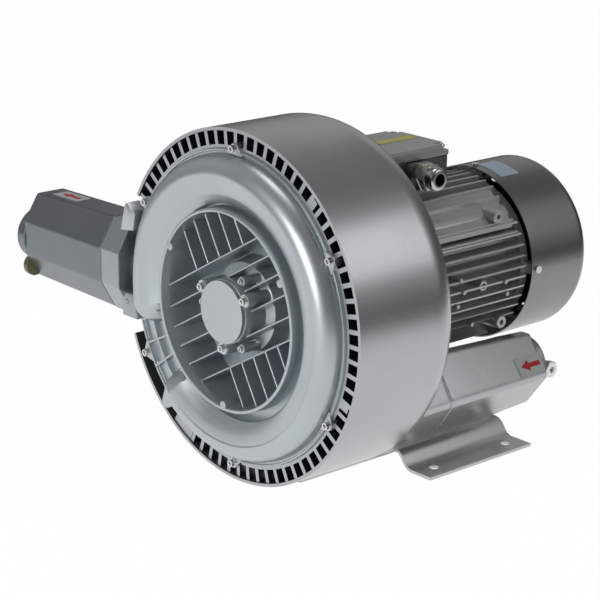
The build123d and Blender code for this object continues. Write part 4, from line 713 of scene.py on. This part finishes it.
def makeNeck():
    lug, strip, mark = neck["lug"], neck["strip"], neck["mark"]
    slabPiece("neckLug", lug["outline"], lug["front"], lug["back"], "coverCasting", lug["ease"])
    slabPiece("neckStrip", strip["outline"], strip["front"], strip["back"], "neckCasting", strip["ease"])
    centre = centreAt(mark["across"], strip["front"], mark["height"])
    lathe("neckMark", mark["line"], centre, (0, -1, 0), "neckCasting")
    print("neck pieces done")


makeNeck()


# bosses with holes and small pins between the motor's fins, pointing along +X

finReach = 110.5  # radius of the fins' tips

bosses = {
    "root": 70, "hole": 3.0, "holeDepth": 10, "steps": 24,
    "places": [{"depth": 343.0, "height": 74.0, "radius": 8.5, "reach": 96.0},
               {"depth": 309.0, "height": -6.0, "radius": 7.0, "reach": 107.0},
               {"depth": 353.0, "height": -64.0, "radius": 8.5, "reach": 99.0}],
}

pins = {
    "root": 80, "radius": 3.0, "above": 0.6, "steps": 16,
    "places": [{"depth": 266.0, "height": 9.0}, {"depth": 272.0, "height": -7.0},
               {"depth": 346.0, "height": -7.0}, {"depth": 264.0, "height": -24.0},
               {"depth": 352.0, "height": -24.0}, {"depth": 305.0, "height": -59.0}],
}


def bossLine(radius, length):
    hole, floor = bosses["hole"], length - bosses["holeDepth"]
    return [(0, 0), (radius, 0), (radius, length - 1), (radius - 0.8, length), (hole + 0.4, length),
            (hole, length - 1), (hole, floor), (0, floor)]


def pinLine(height):
    radius, length = pins["radius"], sqrt(finReach ** 2 - height ** 2) + pins["above"] - pins["root"]
    return [(0, 0), (radius, 0), (radius, length - 0.6), (radius - 0.6, length), (0, length)]


def makeBosses():
    parts = []
    for place in bosses["places"]:
        line = bossLine(place["radius"], place["reach"] - bosses["root"])
        centre = centreAt(bosses["root"], place["depth"], place["height"])
        parts.append(lathe("boss", line, centre, (1, 0, 0), "motorCasting", bosses["steps"], None))
    for place in pins["places"]:
        centre = centreAt(pins["root"], place["depth"], place["height"])
        line = pinLine(place["height"])
        parts.append(lathe("pin", line, centre, (1, 0, 0), "motorCasting", pins["steps"], None))
    joined("motorBosses", parts)
    print("motor bosses done")


makeBosses()


# thin fins and a round-edged ridge on the motor's upper right corner

corner = {"front": 200.0, "back": 376.0, "foot": 50.0, "thick": 2.6, "places": (50.0, 64.0)}

ridge = {"low": 80.0, "high": 108.0, "half": 12.0, "round": 9, "ease": 1.2,
         "count": 1, "first": 44.0, "step": 0.0}


def cornerFin(across, level):
    half = corner["thick"] / 2
    tip = sqrt(finReach ** 2 - across ** 2)
    line = [(corner["foot"], across - half), (tip - 0.6, across - half), (tip, across - half + 0.6),
            (tip, across + half - 0.6), (tip - 0.6, across + half), (corner["foot"], across + half)]
    if not level:
        line = [(high, low) for low, high in line]
    return slabPiece("cornerFin", line, corner["front"], corner["back"], "motorCasting", 0, None)


def makeCorner():
    fins = [cornerFin(across, level) for across in corner["places"] for level in (True, False)]
    turn, half = ridge["round"], ridge["half"]
    outline = [(ridge["low"], -half), *roundBar(ridge["high"] - turn, turn, -half + turn, 6, -90, 90),
               *roundBar(ridge["high"] - turn, turn, half - turn, 6, 0, 90), (ridge["low"], half)]
    sizes = {**ridge, "outline": outline, "front": corner["front"], "back": corner["back"]}
    slabsRound("cornerRidge", sizes, "motorCasting")
    joined("cornerFins", fins)
    print("motor corner done")


makeCorner()


# blank stickers and red flow arrows, laid on the surface below them

stickers = {
    "rightLabel": {"centre": (139.5, 93.0, 104.5), "along": (0, 1, 0), "up": (-0.597, 0, 0.802),
                   "size": (49, 26), "corner": 3.0, "on": "right_silencer", "finish": "labelSilver"},
    "cowlSticker": {"centre": (20.0, 148.0, 330.0), "along": (0, 1, 0), "up": (-1, 0, 0),
                    "size": (34, 44), "corner": 2.0, "on": "fan_cowl", "finish": "stickerBlue"},
    "lidSticker": {"centre": (-6.0, -12.0, 382.0), "along": (0, 1, 0), "up": (-1, 0, 0),
                   "size": (66, 16), "corner": 1.5, "on": "terminal_box_lid", "finish": "stickerYellow"},
    "leftLabel": {"centre": (-362.0, -248.0, 279.0), "along": (1, 0, 0), "up": (0, 1, 0),
                  "size": (56, 24), "corner": 3.0, "on": "left_silencer", "finish": "labelSilver"},
}
stickerFilm = {"cornerSteps": 4, "rows": 10, "columns": 12, "lift": 0.3, "thickness": 0.2}

arrows = {
    "rightArrow": {"on": "rightLabel", "towards": -1, "size": (34, 15)},
    "leftArrow": {"on": "leftLabel", "towards": -1, "size": (38, 14)},
}
arrowShape = {"head": 0.42, "shaft": 0.2, "lift": 0.55}  # shares of the length and of the height

search = {"above": 25, "reach": 0.08}  # how far out the search for the surface starts, and how far it goes


def surfaceOf(name):
    mesh = nodes[name].data
    points = [vertex.co for vertex in mesh.vertices]
    return BVHTree.FromPolygons(points, [face.vertices for face in mesh.polygons])


def layOn(tree, sticker, across, high, lift):
    along, up = Vector(sticker["along"]), Vector(sticker["up"])
    out = along.cross(up).normalized()
    start = (Vector(sticker["centre"]) + along * across + up * high + out * search["above"]) / 1000
    spot = tree.ray_cast(start, -out, search["reach"])[0]
    return spot + out * lift / 1000 if spot else start - out * search["above"] / 1000


def makeSticker(name, sticker):
    tree = surfaceOf(sticker["on"])
    length, height = sticker["size"]
    radius = sticker["corner"]
    steps, rows, columns = (stickerFilm[key] for key in ("cornerSteps", "rows", "columns"))
    levels = [-height / 2 + radius * (1 - cos(pi / 2 * step / steps)) for step in range(steps + 1)]
    mirrored = [-level for level in reversed(levels)]
    levels += [-height / 2 + radius + (height - 2 * radius) * step / rows for step in range(1, rows)]
    levels += mirrored
    points, faces = [], []
    for level in levels:
        inset = max(0.0, abs(level) - (height / 2 - radius))
        half = length / 2 - radius + sqrt(max(0.0, radius ** 2 - inset ** 2))
        for column in range(columns + 1):
            across = half * (2 * column / columns - 1)
            points.append(layOn(tree, sticker, across, level, stickerFilm["lift"]))
    wide = columns + 1
    for row in range(len(levels) - 1):
        for column in range(columns):
            first = row * wide + column
            faces.append((first, first + 1, first + wide + 1, first + wide))
    piece = makePiece(name, points, faces, sticker["finish"], sharp=60)
    thick = piece.modifiers.new("thickness", "SOLIDIFY")
    thick.thickness = stickerFilm["thickness"] / 1000
    thick.offset = 0


def makeArrow(name, arrow):
    sticker = stickers[arrow["on"]]
    tree = surfaceOf(sticker["on"])
    length, height = arrow["size"]
    half, neckAt, shaft = length / 2, length / 2 - length * arrowShape["head"], height * arrowShape["shaft"]
    outline = [(half, 0.0), (neckAt, height / 2), (neckAt, shaft), (-half, shaft),
               (-half, -shaft), (neckAt, -shaft), (neckAt, -height / 2)]
    points = [layOn(tree, sticker, across * arrow["towards"], high, arrowShape["lift"])
              for across, high in outline]
    makePiece(name, points, [tuple(range(len(points)))], "arrowRed", sharp=60)


def makeStickers():
    for name, sticker in stickers.items():
        makeSticker(name, sticker)
    for name, arrow in arrows.items():
        makeArrow(name, arrow)
    print("stickers and arrows done")


makeStickers()


# domed screws on the box lid

lidScrews = {"lid": (91.5, 111.5), "inset": 8.6, "centre": (0.0, -32.0, 377.7),
             "line": [(0, 2.2), (1.7, 2.2), (1.7, 4.0), (2.2, 4.3), (4.4, 3.6), (5.2, 2.2), (5.4, 0), (0, 0)]}


def makeSmallScrews():
    length, width = ((size - lidScrews["inset"]) / 1000 for size in lidScrews["lid"])
    head = lathe("lidScrews", lidScrews["line"], (0, 0, 0), (0, 0, 1), "zinc", body=None)
    repeated(head, "grid", "zinc", Length=length, Width=width, Along=2, Across=2)
    head.data.transform(Matrix.Translation(Vector(lidScrews["centre"]) / 1000))
    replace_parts(head, "terminal_box_lid_screws")
    print("small screws done")


makeSmallScrews()


# camera, lamps, floor and world

camera = {"azimuth": 48.344, "elevation": 17.243, "roll": 0.72, "distance": 2.38315, "lens": 121.852,
          "target": (0.04765, -0.21338, 0.22782), "sensor": 36, "farthest": 100}


def placeCamera():
    turn, tilt, roll = (radians(camera[key]) for key in ("azimuth", "elevation", "roll"))
    right = Vector((cos(turn), sin(turn), 0))
    back = Vector((sin(turn) * cos(tilt), -cos(turn) * cos(tilt), sin(tilt)))
    up = back.cross(right)
    rolledRight = right * cos(roll) + up * sin(roll)
    rolledUp = up * cos(roll) - right * sin(roll)
    holder = bpy.data.objects.new("camera", bpy.data.cameras.new("camera"))
    scene.collection.objects.link(holder)
    place = Matrix((rolledRight, rolledUp, back)).transposed().to_4x4()
    place.translation = Vector(camera["target"]) + back * camera["distance"]
    holder.matrix_world = place
    holder.data.sensor_width = camera["sensor"]
    holder.data.lens = camera["lens"]
    holder.data.clip_end = camera["farthest"]
    scene.camera = holder


lampAim = (0, -0.1, 0.2)
lamps = {
    "front": {"at": (0.3, -4.2, 1.2), "size": (1.8, 1.8), "power": 52},
    "drum": {"at": (0.92, 0.5, 0.86), "size": (0.6, 0.6), "power": 1.0},
    "top": {"at": (-0.4, 0.2, 3.4), "size": (1.6, 1.6), "power": 22},
}


def placeLamps():
    for name, lamp in lamps.items():
        light = bpy.data.lights.new(name, "AREA")
        light.shape = "RECTANGLE"
        light.size, light.size_y = lamp["size"]
        light.energy = lamp["power"]
        holder = bpy.data.objects.new(name, light)
        scene.collection.objects.link(holder)
        holder.location = lamp["at"]
        holder.rotation_euler = (Vector(lampAim) - Vector(lamp["at"])).to_track_quat("-Z", "Y").to_euler()


floorPaper = {"half": 20, "tone": 0.80, "roughness": 0.9,
              "glow": 0.98, "gloss": 0.92,  # share of plain white for the camera and for reflections
              "middle": (-0.5, -0.6, 0), "fade": (1.5, 2.5), "far": 0.06}  # reflections darken with distance

studio = {"fill": 0.30, "horizon": 0.05, "ceiling": 0.15,
          "boxes": [{"at": (0.62, 0.635, 0.43), "inner": 8, "outer": 32, "strength": 0.34},
                    {"at": (0.0, -1.0, 0.10), "inner": 14, "outer": 42, "strength": 0.65},
                    {"at": (-0.95, -0.25, 0.15), "inner": 10, "outer": 40, "strength": 0.25},
                    {"at": (-0.55, 0.75, 0.35), "inner": 8, "outer": 26, "strength": 0.30},
                    {"at": (-0.55, -0.35, 0.75), "inner": 8, "outer": 26, "strength": 0.14}]}


def seenDirectly(tree):
    path = addNode(tree, "ShaderNodeLightPath").outputs
    direct = calculate(tree, "MAXIMUM", path["Is Camera Ray"], path["Is Transmission Ray"])
    return direct, path["Is Glossy Ray"]


def makeFloor():
    half = floorPaper["half"]
    mesh = bpy.data.meshes.new("floor")
    corners = [(-half, -half, 0), (half, -half, 0), (half, half, 0), (-half, half, 0)]
    mesh.from_pydata(corners, [], [(0, 1, 2, 3)])
    floor = bpy.data.objects.new("floor", mesh)
    scene.collection.objects.link(floor)
    material, tree, shader = shaderTree("floorPaper")
    shader.inputs["Base Color"].default_value = (*[floorPaper["tone"]] * 3, 1)
    shader.inputs["Roughness"].default_value = floorPaper["roughness"]
    shader.inputs["Specular IOR Level"].default_value = 0.0
    direct, glossy = seenDirectly(tree)
    distance = calculateVector(tree, "DISTANCE", objectPlace(tree), floorPaper["middle"])
    fade = spread(tree, distance, 1, floorPaper["far"], *floorPaper["fade"])
    glow = addNode(tree, "ShaderNodeEmission")
    tree.links.new(blendNumbers(tree, glossy, 1.0, fade), glow.inputs["Strength"])
    shown = calculate(tree, "MULTIPLY", direct, floorPaper["glow"])
    share = calculate(tree, "MULTIPLY_ADD", glossy, floorPaper["gloss"], shown)
    mixer = addNode(tree, "ShaderNodeMixShader")
    for socket, value in zip(mixer.inputs, (share, shader.outputs[0], glow.outputs[0])):
        tree.links.new(value, socket)
    tree.links.new(mixer.outputs[0], tree.nodes["Material Output"].inputs["Surface"])
    mesh.materials.append(material)


def softBox(tree, direction, box):
    # a soft round light in one direction, full inside its inner angle and gone beyond its outer one
    dot = calculateVector(tree, "DOT_PRODUCT", direction, Vector(box["at"]).normalized())
    return spread(tree, dot, 0, box["strength"], cos(radians(box["outer"])), cos(radians(box["inner"])))


def makeWorld():
    # white to the camera, an even fill for plain light, and soft boxes that only reflections see
    world = bpy.data.worlds.new("studio")
    world.use_nodes = True
    scene.world = world
    tree = world.node_tree
    background = tree.nodes["Background"]
    direction = addNode(tree, "ShaderNodeTexCoord").outputs["Generated"]
    axes = addNode(tree, "ShaderNodeSeparateXYZ")
    tree.links.new(direction, axes.inputs[0])
    total = spread(tree, axes.outputs["Z"], studio["horizon"], studio["ceiling"], 0.0, 0.6)
    for box in studio["boxes"]:
        total = calculate(tree, "ADD", total, softBox(tree, direction, box))
    direct, glossy = seenDirectly(tree)
    lit = blendNumbers(tree, glossy, studio["fill"], total)
    tree.links.new(blendNumbers(tree, direct, lit, 1.0), background.inputs["Strength"])
    background.inputs["Color"].default_value = (1, 1, 1, 1)


placeCamera()
placeLamps()
makeFloor()
makeWorld()
scene.view_settings.view_transform = "Standard"
print("camera, lamps, floor and world done")
